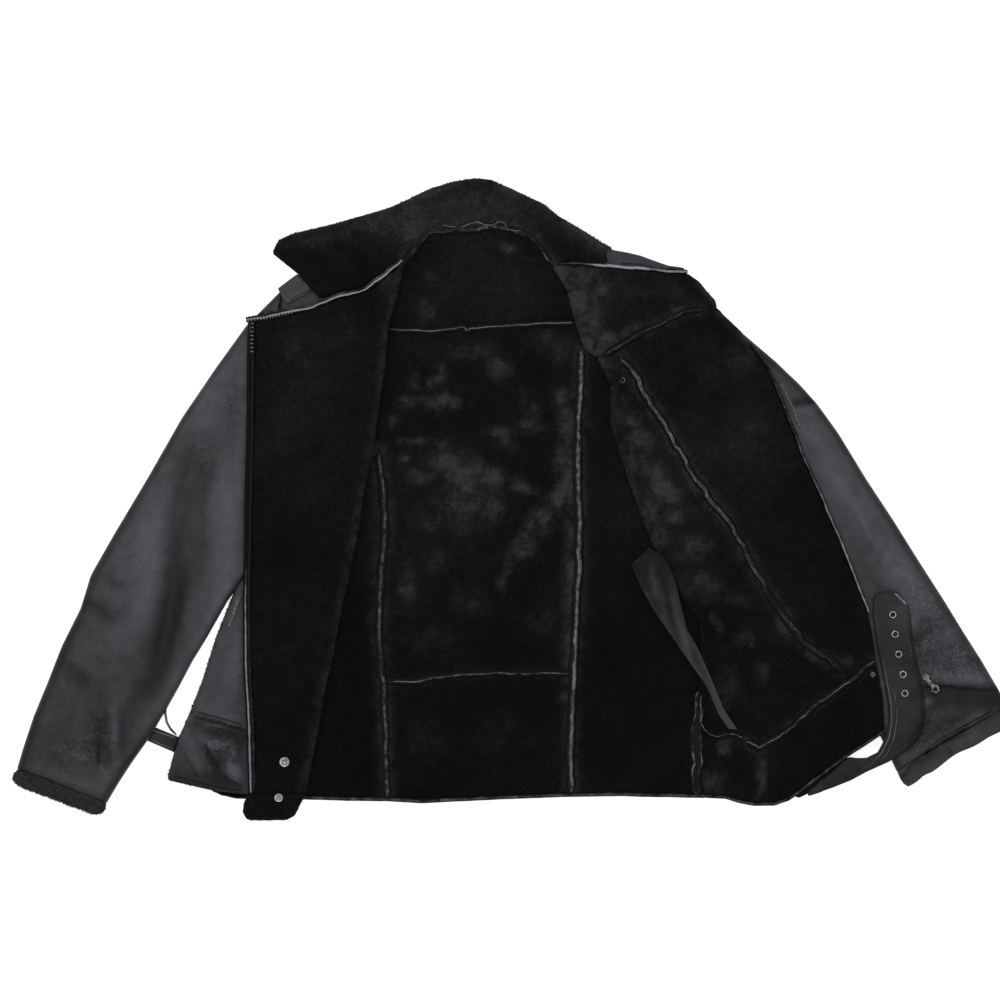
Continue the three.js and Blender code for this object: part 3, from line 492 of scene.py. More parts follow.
def baked(piece):
    """The piece's mesh with its modifiers worked out, and the modifiers gone."""
    done = bpy.data.meshes.new_from_object(piece.evaluated_get(bpy.context.evaluated_depsgraph_get()))
    piece.modifiers.clear()
    piece.data = done
    return piece


def even_net(name, node, pitch):
    """A solid's form as an even net of small faces."""
    piece = bpy.data.objects.new(name, mesh_from(node))
    scene.collection.objects.link(piece)
    net = piece.modifiers.new("net", "REMESH")
    net.mode, net.voxel_size, net.use_smooth_shade = "VOXEL", pitch, True
    return baked(piece)


print("merging points closer than", MERGE / MM, "mm")

# %% [markdown]
# Points and their normals are read into arrays, moved together and written back. Nothing may
# go below the table. A number kept on each point, such as how light it is painted, can later
# be read by a finish.

# %% Points and their numbers
def points_and_normals(mesh):
    """Where the points of a mesh are and which way they face."""
    places, facing = np.empty((2, len(mesh.vertices) * 3), np.float32)
    mesh.vertices.foreach_get("co", places)
    mesh.vertex_normals.foreach_get("vector", facing)
    return places.reshape(-1, 3).astype(float), facing.reshape(-1, 3).astype(float)


def move_points(mesh, points):
    points[:, 2] = np.maximum(points[:, 2], 0.0)
    mesh.vertices.foreach_set("co", points.astype(np.float32).ravel())
    mesh.update()


def keep_number(mesh, name, values):
    """Keeps one number on each point, for the finishes and the pile to read."""
    field = mesh.attributes.get(name) or mesh.attributes.new(name, "FLOAT", "POINT")
    field.data.foreach_set("value", np.asarray(values, np.float32))


def settle(piece, material, slot, *nodes):
    """Gives a finished piece its material, its body and the solids that it stands for."""
    piece.data.materials.clear()
    piece.data.materials.append(material)
    piece.data.polygons.foreach_set("use_smooth", np.ones(len(piece.data.polygons), bool))
    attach(piece, "jacket")
    if nodes:
        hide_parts(*nodes)
    return piece


# %% [markdown]
# Most forms below are made from rows of points, and one function turns these into a piece
# whose faces look outwards. Rays find what lies above or under a place: they need all the
# faces in one tree.

# %% New pieces and rays
def new_piece(name, points, faces, merge=0.0, open_tube=False):
    """A piece from points and faces, with its faces turned outwards."""
    mesh = bpy.data.meshes.new(name)
    mesh.from_pydata(points, [], faces)
    shape = bmesh.new()
    shape.from_mesh(mesh)
    if merge:
        bmesh.ops.remove_doubles(shape, verts=shape.verts, dist=merge)
    bmesh.ops.recalc_face_normals(shape, faces=shape.faces)
    if open_tube and max(shape.faces, key=lambda face: face.calc_center_median().z).normal.z < 0:
        bmesh.ops.reverse_faces(shape, faces=shape.faces)
    shape.to_mesh(mesh)
    shape.free()
    piece = bpy.data.objects.new(name, mesh)
    scene.collection.objects.link(piece)
    return piece


def tree_of(pieces):
    """All faces of some pieces, ready to be hit by a ray."""
    corners, faces = [], []
    for piece in pieces:
        start = len(corners)
        corners += [v.co.copy() for v in piece.data.vertices]
        faces += [[start + i for i in polygon.vertices] for polygon in piece.data.polygons]
    return BVHTree.FromPolygons(corners, faces)


everything = tree_of(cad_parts.values())
print("faces of the solids:", sum(len(node.data.polygons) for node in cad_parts.values()))

# %% [markdown]
# The seams of the inside are where the hides meet, and each one sinks the wool beside it.
# Their lines are the ones that the part's solids follow.

# %% Seam lines
neck_line = [(405, 260), (411, 252), (419, 244), (428, 234), (440, 232), (461, 231), (477, 229), (493, 227),
             (508, 228.5), (519, 231), (527, 235), (535, 241), (543.5, 252), (551, 262)]
yoke_line = [(390, 330), (421, 331), (444, 330.3), (463, 327.5), (467, 331), (471, 328.6), (517, 325),
             (573.5, 322.6)]
back_left_line = [(378.6, 453), (380, 469), (384, 503), (384, 537), (380, 587), (379, 638), (383, 684),
                  (385.5, 743), (387, 797)]
back_right_line = [(581, 351), (580, 385), (577.5, 463), (579.5, 524), (577.5, 591), (573.7, 674),
                   (572, 718), (569.5, 750), (571, 792.5)]
back_cross_line = [(388.3, 683.2), (421.7, 680.5), (456, 674.5), (491, 673.3), (525, 672.8), (569.8, 674)]
side_right_line = [(701, 690), (698, 712), (698, 741), (696.5, 760), (697.5, 794)]
lapel_line = [(606, 355.5), (630, 338.5), (652, 328.5), (682, 313), (703, 310)]
diagonal_line = [(620.5, 359), (632, 371), (645, 396), (657, 414), (670, 434), (690.6, 475), (715, 505),
                 (732, 528), (750, 562), (767.6, 593), (783, 615), (801, 641), (830, 662), (845, 672.5)]
hem_right_line = [(746, 742), (758, 748.5), (774, 738.5), (787, 729), (808, 709.5), (830, 695), (852, 678),
                  (874, 660)]
seam_lines = [neck_line, yoke_line, back_left_line, back_right_line, back_cross_line, side_right_line,
              lapel_line, diagonal_line, hem_right_line]
fold_rim = [(400, 272), (396, 300), (388, 327), (384.5, 368), (378, 411), (371, 459), (364, 489), (356, 540),
            (347, 581), (339, 617), (332.6, 655), (325, 684), (316, 734), (310, 762), (304, 790)]
print("seams:", len(seam_lines))

# %% [markdown]
# The patches of painted sheen where the pile is brushed are placed from how the pile lies: a
# centre, a size across and along, a turn in degrees and how light it is. They belong to one
# side of the jacket each.

# %% Where the pile is brushed
PATCH = "x y across along turn light"
patches = {
    "back": table(PATCH, [
        (439, 373, 5, 9, 15, 0.95), (434, 380, 5, 5, 0, 0.6), (441, 400, 22, 9, -8, 0.7),
        (455, 396, 12, 5, 20, 0.4), (404, 405, 12, 6, 0, 0.45), (414, 384, 9, 9, 0, 0.35),
        (500, 368, 13, 11, 0, 0.5), (472, 352, 34, 9, 0, 0.28), (416, 441, 15, 5, -10, 0.55),
        (407, 460, 4, 4, 0, 0.6), (394, 420, 6, 6, 0, 0.4), (445, 462, 15, 14, 25, 0.75),
        (462, 474, 20, 16, 0, 0.85), (490, 478, 14, 10, 10, 0.7), (420, 478, 13, 6, 0, 0.5),
        (463, 500, 26, 12, 0, 0.5), (490, 505, 12, 18, 0, 0.45), (452, 520, 30, 12, 0, 0.25),
        (440, 447, 6, 9, 30, 0.5), (523, 486, 16, 7, 30, 0.5), (502, 438, 14, 10, 25, 0.4),
        (531, 427, 11, 6, 0, 0.42), (533, 413, 7, 8, 0, 0.35), (521, 400, 4, 9, -20, 0.45),
        (560, 350, 14, 16, 0, 0.35), (545, 340, 18, 10, 0, 0.25), (566, 402, 9, 14, -10, 0.6),
        (569, 440, 6, 44, 0, 0.55), (563, 474, 8, 26, 0, 0.7), (555, 500, 16, 10, -30, 0.85),
        (541, 522, 10, 18, 35, 0.7), (523, 545, 9, 18, 35, 0.6), (512, 556, 12, 8, 0, 0.45),
        (507, 574, 6, 15, 12, 0.5), (405, 585, 10, 18, 0, 0.35), (436, 560, 12, 10, 0, 0.22),
        (470, 600, 20, 16, 0, 0.18), (540, 620, 18, 18, 0, 0.16), (430, 640, 22, 12, 0, 0.18),
        (500, 735, 30, 20, 0, 0.12), (430, 740, 20, 20, 0, 0.12), (431, 276, 8, 9, 0, 0.26),
        (427, 312, 9, 12, 0, 0.3), (506, 249, 8, 4, 0, 0.5), (453, 289, 12, 10, 0, 0.15),
        (575, 560, 5, 60, 0, 0.25)]),
    "right": table(PATCH, [
        (560, 280, 8, 14, -20, 0.5), (585, 275, 24, 9, 0, 0.55), (603, 290, 12, 10, 0, 0.4),
        (600, 344, 20, 14, 0, 0.6), (590, 318, 14, 24, -10, 0.5), (632, 334, 26, 7, -28, 0.5),
        (668, 317, 26, 7, -24, 0.5), (640, 290, 16, 8, 0, 0.12), (672, 292, 14, 8, 0, 0.18),
        (612, 392, 5, 10, 30, 0.4), (618, 412, 9, 12, 0, 0.5), (632, 420, 12, 10, 20, 0.55),
        (638, 440, 14, 10, 0, 0.6), (634, 462, 12, 14, 0, 0.6), (655, 474, 14, 10, 20, 0.6),
        (664, 490, 16, 10, 20, 0.7), (650, 508, 12, 12, 0, 0.5), (676, 514, 14, 10, 0, 0.5),
        (660, 538, 12, 14, 0, 0.4), (692, 547, 16, 12, 0, 0.42), (700, 584, 20, 14, 20, 0.42),
        (716, 622, 4, 9, 0, 0.5), (735, 600, 12, 9, 0, 0.25), (760, 671, 7, 9, 0, 0.45),
        (744, 640, 12, 10, 0, 0.25), (782, 630, 8, 14, -35, 0.5), (810, 650, 18, 7, 30, 0.45),
        (836, 657, 18, 5, 20, 0.4), (761, 776, 5, 24, 0, 0.55), (711, 782, 12, 14, 0, 0.35),
        (727, 745, 8, 10, 0, 0.4), (744, 430, 16, 24, 0, 0.15), (707, 362, 14, 22, 0, 0.1),
        (725, 690, 9, 20, 0, 0.35), (738, 358, 12, 16, -30, 0.25), (733, 425, 4, 3, 0, 0.5)]),
    "collar": table(PATCH, [
        (378, 222, 46, 7, -16, 0.22), (412, 232, 14, 14, -35, 0.35), (482, 206, 30, 12, 0, 0.18),
        (305, 242, 28, 7, -10, 0.25), (325, 238, 5, 3, 0, 0.3)]),
    "left": table(PATCH, [
        (300, 345, 20, 16, 0, 0.12), (285, 420, 16, 24, 0, 0.08), (340, 330, 20, 14, 0, 0.1),
        (330, 640, 14, 24, 0, 0.08), (392, 282, 10, 12, 0, 0.25), (304, 361, 3, 4, 0, 0.4)])}
print("patches:", {side: len(rows) for side, rows in patches.items()})

# %% [markdown]
# Some broad regions are painted a little lighter or darker as a whole, as broad painted light
# and shade. Rims, where a panel is turned or cut, are painted lighter along a line, as painted
# sheen where the pile turns.

# %% Regions and rims
grounds = table("x y across along light", [
    (300, 390, 60, 100, 0.10), (490, 285, 70, 45, 0.13), (740, 440, 60, 90, 0.09), (430, 520, 60, 90, 0.05),
    (400, 225, 80, 26, 0.17), (480, 205, 130, 30, 0.2), (640, 290, 60, 30, 0.10), (660, 470, 50, 80, 0.08),
    (630, 690, 60, 80, -0.05), (480, 740, 90, 60, -0.01), (360, 680, 40, 120, -0.04)])
rims = table("on width light line", [
    ("left", 6, 0.32, fold_rim), ("back", 8, 0.42, back_right_line),
    ("back", 8, 0.5, [(561, 395), (569, 440), (572, 520), (571, 620), (568, 700)]),
    ("back", 9, 0.42, back_left_line), ("back", 5, 0.25, back_cross_line), ("back", 5, 0.2, neck_line),
    ("collar", 8, 0.4, neck_line),
    ("collar", 9, 0.5, [(508, 186), (522, 191), (548, 204), (575, 225), (610, 248)]),
    ("collar", 5, 0.25, [(296, 235), (352, 218), (405, 203), (440, 188), (476, 181)]),
    ("right", 8, 0.38, diagonal_line), ("right", 6, 0.35, hem_right_line), ("right", 6, 0.35, lapel_line),
    ("right", 17, 0.9, [(552, 265), (568, 290), (576, 322), (584, 348), (597, 357)]),
    ("right", 5, 0.45, [(689, 270), (699, 278), (707, 291), (715, 301), (722, 314), (740, 330), (752, 350)]),
    ("right", 5, 0.25, [(611, 424), (621, 454), (640, 505), (654, 544)])])
print("regions:", len(grounds), "rims:", len(rims))

# %% [markdown]
# The painted sheen of a place is the strongest of its patches and rims, mottled, on the level
# of its region. Patches are soft ellipses, and the wander of their outlines breaks them up.

# %% How light the pile lies
def patch_distance(right, down, patch):
    """The squared distance from a patch's middle, 1 on its outline."""
    turn = math.radians(patch["turn"])
    dx, dy = right - patch["x"], down - patch["y"]
    u = (dx * math.cos(turn) + dy * math.sin(turn)) / patch["across"]
    v = (-dx * math.sin(turn) + dy * math.cos(turn)) / patch["along"]
    return u * u + v * v


def nap_sheen_at(x, y, side):
    """How strongly the pile's sheen is painted at each place, from 0 to 1."""
    total = np.zeros(x.shape)
    right, down = astray(x, y, 9, 0.020, (31, 77), 5)
    for patch in patches[side]:
        total = np.maximum(total, patch["light"] * np.exp(-patch_distance(right, down, patch) ** 1.1))
    for rim in [rim for rim in rims if rim["on"] == side]:
        away = near_line(x, y, rim["line"]) / STEP / rim["width"]
        total = np.maximum(total, rim["light"] * np.exp(-away ** 2))
    mottle = 0.8 + 0.8 * cloud(x, y, 0.014, 11, 4) + 0.5 * cloud(x, y, 0.0055, 19)
    ground = 0.14 + 0.07 * cloud(x, y, 0.06, 3, 4) + 0.04 * cloud(x, y, 0.012, 9)
    for region in grounds:
        away = np.hypot((right - region["x"]) / region["across"], (down - region["y"]) / region["along"])
        ground += region["light"] * np.exp(-away ** 2)
    return np.clip(total * mottle + ground, 0, 1)


print("nap at the middle of the back:", nap_sheen_at(*spot(470, 560)[:, None], "back").round(2))

# %% [markdown]
# The wool sinks along the seams, is softly uneven everywhere, and stands out past the cut
# edge of its hide. Tufts are only made where they can be seen, so each point is asked, with a
# ray, whether anything lies above it.

# %% Shaping a panel
SEAM_REACH, SEAM_DEPTH = 7 * MM, 0.6 * MM


def open_above(points, normals):
    """1 for points that face up with nothing above them."""
    free = np.zeros(len(points))
    for i in np.nonzero(normals[:, 2] > 0.05)[0]:
        start = Vector(points[i]) + Vector((0, 0, 1.0 * MM)) + Vector(normals[i]) * 0.6 * MM
        free[i] = 0.0 if everything.ray_cast(start, Vector((0, 0, 1)))[0] else 1.0
    return free


def wool_relief(x, y):
    """The wool's humps, less the hollows beside the seams, in metres."""
    humps = 1.6 * MM * cloud(x, y, 0.045, 5) + 0.8 * MM * cloud(x, y, 0.012, 23) - 0.6 * MM
    deep = np.zeros(x.shape)
    for line in seam_lines:
        deep = np.maximum(deep, np.exp(-((near_line(x, y, line) / SEAM_REACH) ** 2)))
    return humps - deep * SEAM_DEPTH


PULL = "x y reach right down"


def pulled(points, pulls):
    """Moves what lies near some places a little, to close a join or match an outline."""
    right, down = chart_of(points[:, 0], points[:, 1])
    for pull in table(PULL, pulls):
        share = np.exp(-(((right - pull["x"]) ** 2 + (down - pull["y"]) ** 2) / pull["reach"] ** 2))
        points[:, 0] += share * pull["right"] * STEP
        points[:, 1] -= share * pull["down"] * STEP


def spread_sides(points, normals, growth):
    """Pushes upright sides outwards, because the pile stands out past the cut edge of a hide."""
    side = 1 - ease(np.abs(normals[:, 2]), 0.3, 0.9)
    points[:, :2] += normals[:, :2] * side[:, None] * growth


print("seams sink", SEAM_DEPTH / MM, "mm")

# %% [markdown]
# Each wool panel is covered with its net and shaped. It keeps two numbers on its points: its
# painted sheen, and pile, which is 1 where nothing lies on the wool. The collar is drawn down a
# little at its right end, where it meets the lapel.

# %% Wool panels
PANEL_PITCH = 3.0 * MM
SIDE_GROWTH = 1.7 * MM
wool_nodes = {
    "back": ["back_yoke", "back_centre", "back_hem_band", "back_side_left", "back_side_right"],
    "left": ["front_left_main", "hem_tab_left"],
    "right": ["lapel_right", "front_right_side", "front_right_main", "front_right_hem_band"],
    "collar": ["collar"]}
wool_pulls = {"collar": [(590, 262, 26, 0, 3.4), (612, 262, 14, 3, 2.5), (556, 262, 14, 0, 2.0),
                         (609, 247, 8, 1.5, 0)]}


def wool_panel(node, side):
    piece = even_net(node + "_wool", node, PANEL_PITCH)
    points, normals = points_and_normals(piece.data)
    facing = ease(normals[:, 2], 0.2, 0.8)
    free = open_above(points, normals)
    x, y = points[:, 0], points[:, 1]
    # Painted sheen for the wool finish.
    nap = nap_sheen_at(x, y, side)
    points[:, 2] += facing * wool_relief(x, y) * np.where(free > 0, 1.0, 0.5)
    spread_sides(points, normals, SIDE_GROWTH)
    pulled(points, wool_pulls.get(node, []))
    move_points(piece.data, points)
    keep_number(piece.data, "nap", nap)
    keep_number(piece.data, "pile", free)
    return settle(piece, wool, "wool", node)


wool_pieces = {node: wool_panel(node, side) for side, nodes in wool_nodes.items() for node in nodes}
print("wool panels:", {name: len(piece.data.polygons) for name, piece in wool_pieces.items()})

# %% [markdown]
# Tufts, stitches and zip teeth are small forms repeated many times, which Geometry Nodes do
# well. Each kind is a tree with named inputs for its sizes. These helpers open a tree, close
# it with real faces, and keep what it grows on a piece as a plain piece of its own.

# %% Recipes that repeat
def new_recipe(name, numbers):
    """An empty tree of geometry nodes with named inputs for its sizes."""
    tree = bpy.data.node_groups.new(name, "GeometryNodeTree")
    tree.interface.new_socket(name="Geometry", in_out="INPUT", socket_type="NodeSocketGeometry")
    for label, value in numbers.items():
        kind = "NodeSocketInt" if isinstance(value, int) else "NodeSocketFloat"
        tree.interface.new_socket(name=label, in_out="INPUT", socket_type=kind).default_value = value
    tree.interface.new_socket(name="Finish", in_out="INPUT", socket_type="NodeSocketMaterial")
    tree.interface.new_socket(name="Geometry", in_out="OUTPUT", socket_type="NodeSocketGeometry")
    bench = Bench(tree)
    source = tree.nodes.new("NodeGroupInput")
    return tree, bench, {socket.name: Wire(bench, socket) for socket in source.outputs if socket.name}


def close_recipe(tree, bench, instances, material):
    """Ends a tree: real faces with their material."""
    real = bench.add("GeometryNodeRealizeInstances", {}, {0: instances})
    done = bench.add("GeometryNodeSetMaterial", {}, {"Geometry": real, "Material": material})
    end = tree.nodes.new("NodeGroupOutput")
    tree.links.new(done.socket, end.inputs[0])
    return tree


def grown(name, base, tree, values, material, slot):
    """The result of a recipe on a piece, as a plain piece of its own."""
    grower = bpy.data.objects.new(name, base.data.copy())
    scene.collection.objects.link(grower)
    modifier = grower.modifiers.new("recipe", "NODES")
    modifier.node_group = tree
    given = {**values, "Finish": material}
    for item in tree.interface.items_tree:
        if item.in_out == "INPUT" and item.name in given:
            modifier[item.identifier] = given[item.name]
    return settle(baked(grower), material, slot)


print("every recipe ends in real faces")

# %% [markdown]
# Clipped shearling is a field of short tufts. Geometry Nodes scatter them over the net with a
# fixed seed: a slim three-sided cone each, leaning a little at random. They carry the painted
# sheen number with them, so a tuft in a brushed patch is painted as light as the wool under it.

# %% Tufts of the pile
def tuft_recipe():
    tree, bench, given = new_recipe("tufts", {"Density": 1000.0, "Height": 2.2 * MM, "Width": 0.55 * MM,
                                              "Lean": 0.5, "Seed": 1})
    free = bench.add("GeometryNodeInputNamedAttribute", {"data_type": "FLOAT"}, {"Name": "pile"})
    spread = bench.add("GeometryNodeDistributePointsOnFaces", {}, {
        "Mesh": given["Geometry"], "Density": free * given["Density"], "Seed": given["Seed"]})
    upward = Wire(bench, spread.socket.node.outputs["Normal"])
    sway = bench.add("FunctionNodeRandomValue", {"data_type": "FLOAT_VECTOR"},
                     {0: (-1.0, -1.0, -0.2), 1: (1.0, 1.0, 0.4), "Seed": given["Seed"]})
    swung = bench.add("ShaderNodeVectorMath", {"operation": "SCALE"}, {0: sway, "Scale": given["Lean"]})
    aim = bench.add("ShaderNodeVectorMath", {"operation": "ADD"}, {0: upward, 1: swung})
    turn = bench.add("FunctionNodeAlignRotationToVector", {"axis": "Z"}, {"Vector": aim})
    size = bench.add("FunctionNodeRandomValue", {"data_type": "FLOAT"},
                     {2: 0.6, 3: 1.25, "Seed": 9}, output=1)
    tuft = bench.add("GeometryNodeMeshCone", {"fill_type": "NONE"}, {
        "Vertices": 3, "Radius Top": 0.0, "Radius Bottom": given["Width"], "Depth": given["Height"]})
    placed = bench.add("GeometryNodeInstanceOnPoints", {}, {
        "Points": spread, "Instance": tuft, "Rotation": turn, "Scale": size})
    return close_recipe(tree, bench, placed, given["Finish"])


tufts = tuft_recipe()
TUFT_DENSITY = 260000.0
for number, (node, piece) in enumerate(wool_pieces.items()):
    pile = grown(node + "_pile", piece, tufts, {"Density": TUFT_DENSITY, "Seed": 11 + number}, wool, "wool")
    print(pile.name, "triangles:", len(pile.data.polygons))

# %% [markdown]
# ## Sleeves
# A sleeve is a flattened tube of hide. It is drawn as rows across the arm, each from its
# outer edge to its inner edge, with a rounded turn at both edges, and its wall is given its
# thickness at the end. The creases are given one by one.

# %% Sleeve rows
ROW = "outer_x outer_y inner_x inner_y"
left_sleeve_rows = table(ROW, [
    (281, 291, 252, 561), (247, 325, 246, 577), (216, 368, 235.5, 591), (182, 418, 228, 601),
    (149, 476, 219, 617), (115, 533, 206, 640), (91, 575, 193, 661), (81, 608, 181, 684),
    (62, 646, 166, 711), (48, 682, 149, 739), (34, 716, 132, 763), (24, 746, 119, 783),
    (17.5, 768, 107.5, 802.5)])
right_sleeve_rows = table(ROW, [
    (686, 290, 704, 556), (714, 308, 717, 561), (742, 333, 731, 569), (776, 362, 748, 580),
    (800, 385, 757, 586), (817, 404, 766, 593), (838, 433, 782, 607), (866, 479, 799, 625),
    (893, 520, 816, 644), (918, 560, 832, 663), (943, 599, 847, 683), (962, 630, 860, 701),
    (981, 660, 871, 718), (998, 689, 884, 745), (1007, 706, 896, 771)])
CREASE = "x y to_x to_y width rise"
left_creases = table(CREASE, [
    (191, 440, 163, 655, 12, -2.4), (180, 520, 168, 650, 7, -1.2), (232, 470, 228, 585, 9, 1.6),
    (226, 592, 196, 655, 8, 1.5), (196, 655, 152, 728, 8, 1.3), (150, 512, 140, 600, 20, 1.3),
    (82, 598, 122, 622, 9, -1.8), (106, 700, 108, 776, 4, -1.8), (113, 705, 117, 770, 3.5, 1.3),
    (101, 708, 103, 770, 3, 0.9), (97, 716, 99, 762, 2.5, -0.8), (121, 712, 124, 750, 3, -0.9),
    (58, 668, 96, 690, 10, -1.2), (62, 742, 84, 748, 3, -0.8), (60, 752, 92, 760, 3, 0.7),
    (64, 760, 78, 740, 2.5, -0.7), (74, 764, 96, 752, 2.5, 0.7), (80, 738, 96, 738, 2.5, 0.8),
    (56, 756, 66, 768, 3, -0.6), (204, 430, 214, 560, 10, 1.0), (196, 350, 206, 420, 10, 0.9),
    (236, 380, 222, 470, 8, -1.1), (205, 480, 203, 560, 6, -0.8), (140, 470, 130, 560, 9, -0.9),
    (120, 650, 150, 600, 14, 0.9), (60, 700, 80, 650, 12, 0.7), (20, 768, 105, 799, 4, -1.2),
    (30, 766, 100, 790, 6, 1.0), (176, 600, 150, 690, 8, -1.1), (238, 440, 240, 520, 6, 0.8),
    (160, 560, 130, 640, 10, 0.8), (95, 580, 140, 590, 6, -0.8)])
right_creases = table(CREASE, [
    (794, 405, 818, 403, 5, -2.0), (792, 412, 816, 411, 4, 1.4), (800, 425, 905, 590, 18, 1.7),
    (830, 440, 880, 540, 6, -1.0), (845, 500, 893, 585, 4, -0.8), (860, 520, 900, 590, 5, 0.8),
    (860, 560, 925, 660, 8, -1.5), (935, 687, 1000, 692, 7, -2.4), (930, 676, 998, 684, 7, 1.9),
    (915, 640, 950, 612, 3, -0.9), (918, 650, 955, 628, 3, 0.8), (920, 660, 966, 640, 3, -0.9),
    (926, 668, 975, 652, 3, 0.9), (905, 655, 930, 625, 3, -0.8), (908, 640, 920, 605, 3, 0.8),
    (935, 600, 925, 640, 3, -0.7), (948, 655, 985, 662, 3, -0.8), (955, 668, 990, 674, 3, 0.7),
    (960, 640, 975, 655, 2.5, 0.8), (940, 640, 950, 660, 2.5, -0.8), (930, 720, 985, 700, 8, 1.2),
    (940, 745, 953, 741, 2.5, -1.0), (905, 735, 940, 700, 7, -1.0), (900, 770, 990, 716, 4, -1.2),
    (905, 760, 990, 706, 5, 1.1), (925, 705, 938, 697, 4, 1.4), (810, 440, 812, 470, 5, -0.7),
    (850, 470, 842, 505, 5, 0.8), (880, 530, 858, 560, 5, -0.7), (905, 600, 912, 630, 5, 0.7)])
print("sleeve rows:", len(left_sleeve_rows), len(right_sleeve_rows), "creases:",
      len(left_creases), len(right_creases))

# %% [markdown]
# The leather's lighter and darker areas are painted light and shade: painted highlights where
# it faces the light and painted shade in its hollows. As with the wool, these areas are placed
# one by one, and so are the places where the hide has crumpled into a fine web of wrinkles.

# %% Painted light and shade, and crumples
light_and_shade_patches = table(PATCH, [
    (235, 365, 26, 60, 15, 0.22), (205, 420, 30, 50, 25, 0.14), (160, 530, 34, 50, 25, 0.22),
    (149, 536, 14, 24, 0, 0.14), (224, 500, 12, 60, 5, 0.20), (204, 480, 10, 56, 8, -0.22),
    (180, 600, 11, 70, 24, -0.30), (166, 655, 9, 30, 22, -0.12), (222, 590, 12, 40, 18, 0.18),
    (196, 655, 9, 34, 30, 0.24), (168, 700, 9, 34, 32, 0.26), (142, 698, 11, 44, 33, -0.22),
    (122, 742, 8, 26, 25, -0.16), (150, 640, 14, 40, 22, -0.10), (110, 610, 30, 40, 25, 0.08),
    (80, 690, 40, 40, 25, -0.10), (98, 742, 7, 34, 6, -0.26), (108, 730, 6, 30, 5, 0.20),
    (118, 735, 6, 30, 5, 0.10), (107, 772, 6, 7, 0, 0.40), (72, 750, 16, 14, 20, 0.14),
    (60, 735, 30, 30, 20, -0.10), (30, 750, 20, 20, 0, -0.12), (130, 760, 14, 24, 30, -0.10),
    (62, 785, 40, 7, 20, 0.06), (60, 640, 16, 30, 25, -0.10), (225, 680, 16, 40, 8, 0.16),
    (238, 650, 8, 50, 0, 0.10), (214, 746, 11, 6, 10, 0.45), (234, 768, 7, 10, -20, 0.75),
    (236, 752, 5, 5, 0, 0.3), (200, 765, 12, 16, 0, 0.10), (190, 752, 10, 14, 0, 0.10),
    (205, 777, 44, 7, 12, -0.30), (180, 755, 9, 20, 10, -0.22), (243, 748, 5, 16, 0, -0.25),
    (222, 760, 8, 14, -30, -0.28), (216, 722, 26, 4, 14, 0.34), (220, 733, 26, 4, 14, -0.30),
    (206, 716, 26, 3, 14, -0.25), (183, 745, 6, 20, 20, 0.16), (800, 420, 16, 24, -20, 0.13),
    (830, 460, 18, 34, -30, 0.17), (868, 520, 18, 40, -30, 0.2), (905, 575, 14, 30, -30, 0.30),
    (925, 605, 18, 26, -30, 0.30), (900, 620, 12, 20, 0, 0.2), (850, 520, 8, 40, -30, -0.18),
    (952, 640, 20, 18, -30, 0.20), (922, 645, 14, 12, 0, 0.20), (975, 665, 18, 14, -20, 0.14),
    (960, 678, 36, 7, 5, 0.22), (965, 697, 40, 9, 0, -0.34), (945, 725, 40, 14, -25, -0.20),
    (975, 720, 18, 6, -28, 0.20), (920, 765, 14, 14, -30, -0.08), (955, 742, 30, 5, -28, 0.18),
    (935, 752, 20, 5, -28, -0.20), (928, 701, 6, 5, 0, 0.5), (816, 404, 8, 4, 0, 0.26),
    (796, 404, 6, 3, 0, -0.3), (762, 356, 16, 20, -30, -0.10), (288, 282, 20, 16, 0, -0.18),
    (640, 256, 26, 8, 10, 0.05)])
crumple_patches = table(PATCH, [
    (110, 735, 18, 40, 0, 0.55), (72, 750, 20, 20, 0, 0.75), (235, 400, 12, 24, 0, 0.5),
    (203, 460, 10, 30, 0, 0.5), (925, 640, 26, 18, -30, 1.0), (960, 662, 34, 18, -20, 0.9),
    (925, 600, 22, 30, -30, 0.7), (220, 755, 24, 22, 0, 0.8), (240, 690, 10, 30, 0, 0.4),
    (60, 690, 20, 26, 0, 0.3), (940, 735, 30, 20, 0, 0.6), (880, 545, 16, 40, -30, 0.35),
    (150, 560, 30, 50, 20, 0.25)])
print("polish patches:", len(light_and_shade_patches), "crumples:", len(crumple_patches))

# %% [markdown]
# A sharp fold has a bright side and a shaded one. The shaded side lies to the left of the
# fold's travel, is darkest at the fold, and fades over its reach.

# %% Sharp folds
fold_lines = table("x y to_x to_y reach depth", [
    (922, 684, 1004, 691, 20, 0.62), (896, 778, 938, 743, 5, 0.45), (938, 743, 1004, 707, 6, 0.4),
    (945, 722, 992, 698, 7, 0.3), (900, 745, 930, 715, 8, 0.25), (940, 741, 953, 752, 4, 0.35),
    (193, 714, 246, 729.5, 5, 0.95), (207, 725, 247, 735.5, 5, 0.8), (168, 777, 248, 793, 3, 0.5),
    (98, 765, 100, 715, 5, 0.4), (112, 775, 104, 765, 4, 0.3), (40, 779, 106, 803, 4, 0.35),
    (196, 440, 166, 560, 10, 0.16), (88, 600, 120, 622, 6, 0.2), (60, 650, 92, 682, 6, 0.16),
    (818, 404, 792, 406, 4, 0.4), (206, 744, 222, 776, 4, 0.6), (228, 744, 236, 764, 3, 0.5),
    (222, 776, 243, 786, 4, 0.5), (186, 752, 200, 776, 4, 0.3), (214, 752, 232, 746, 3, 0.35)])


def along_and_beside(right, down, line):
    """A place's share of the way along a straight line, and its distance left of it."""
    bx, by = line["to_x"] - line["x"], line["to_y"] - line["y"]
    dx, dy = right - line["x"], down - line["y"]
    length = math.hypot(bx, by)
    return (dx * bx + dy * by) / length**2, (dy * bx - dx * by) / length


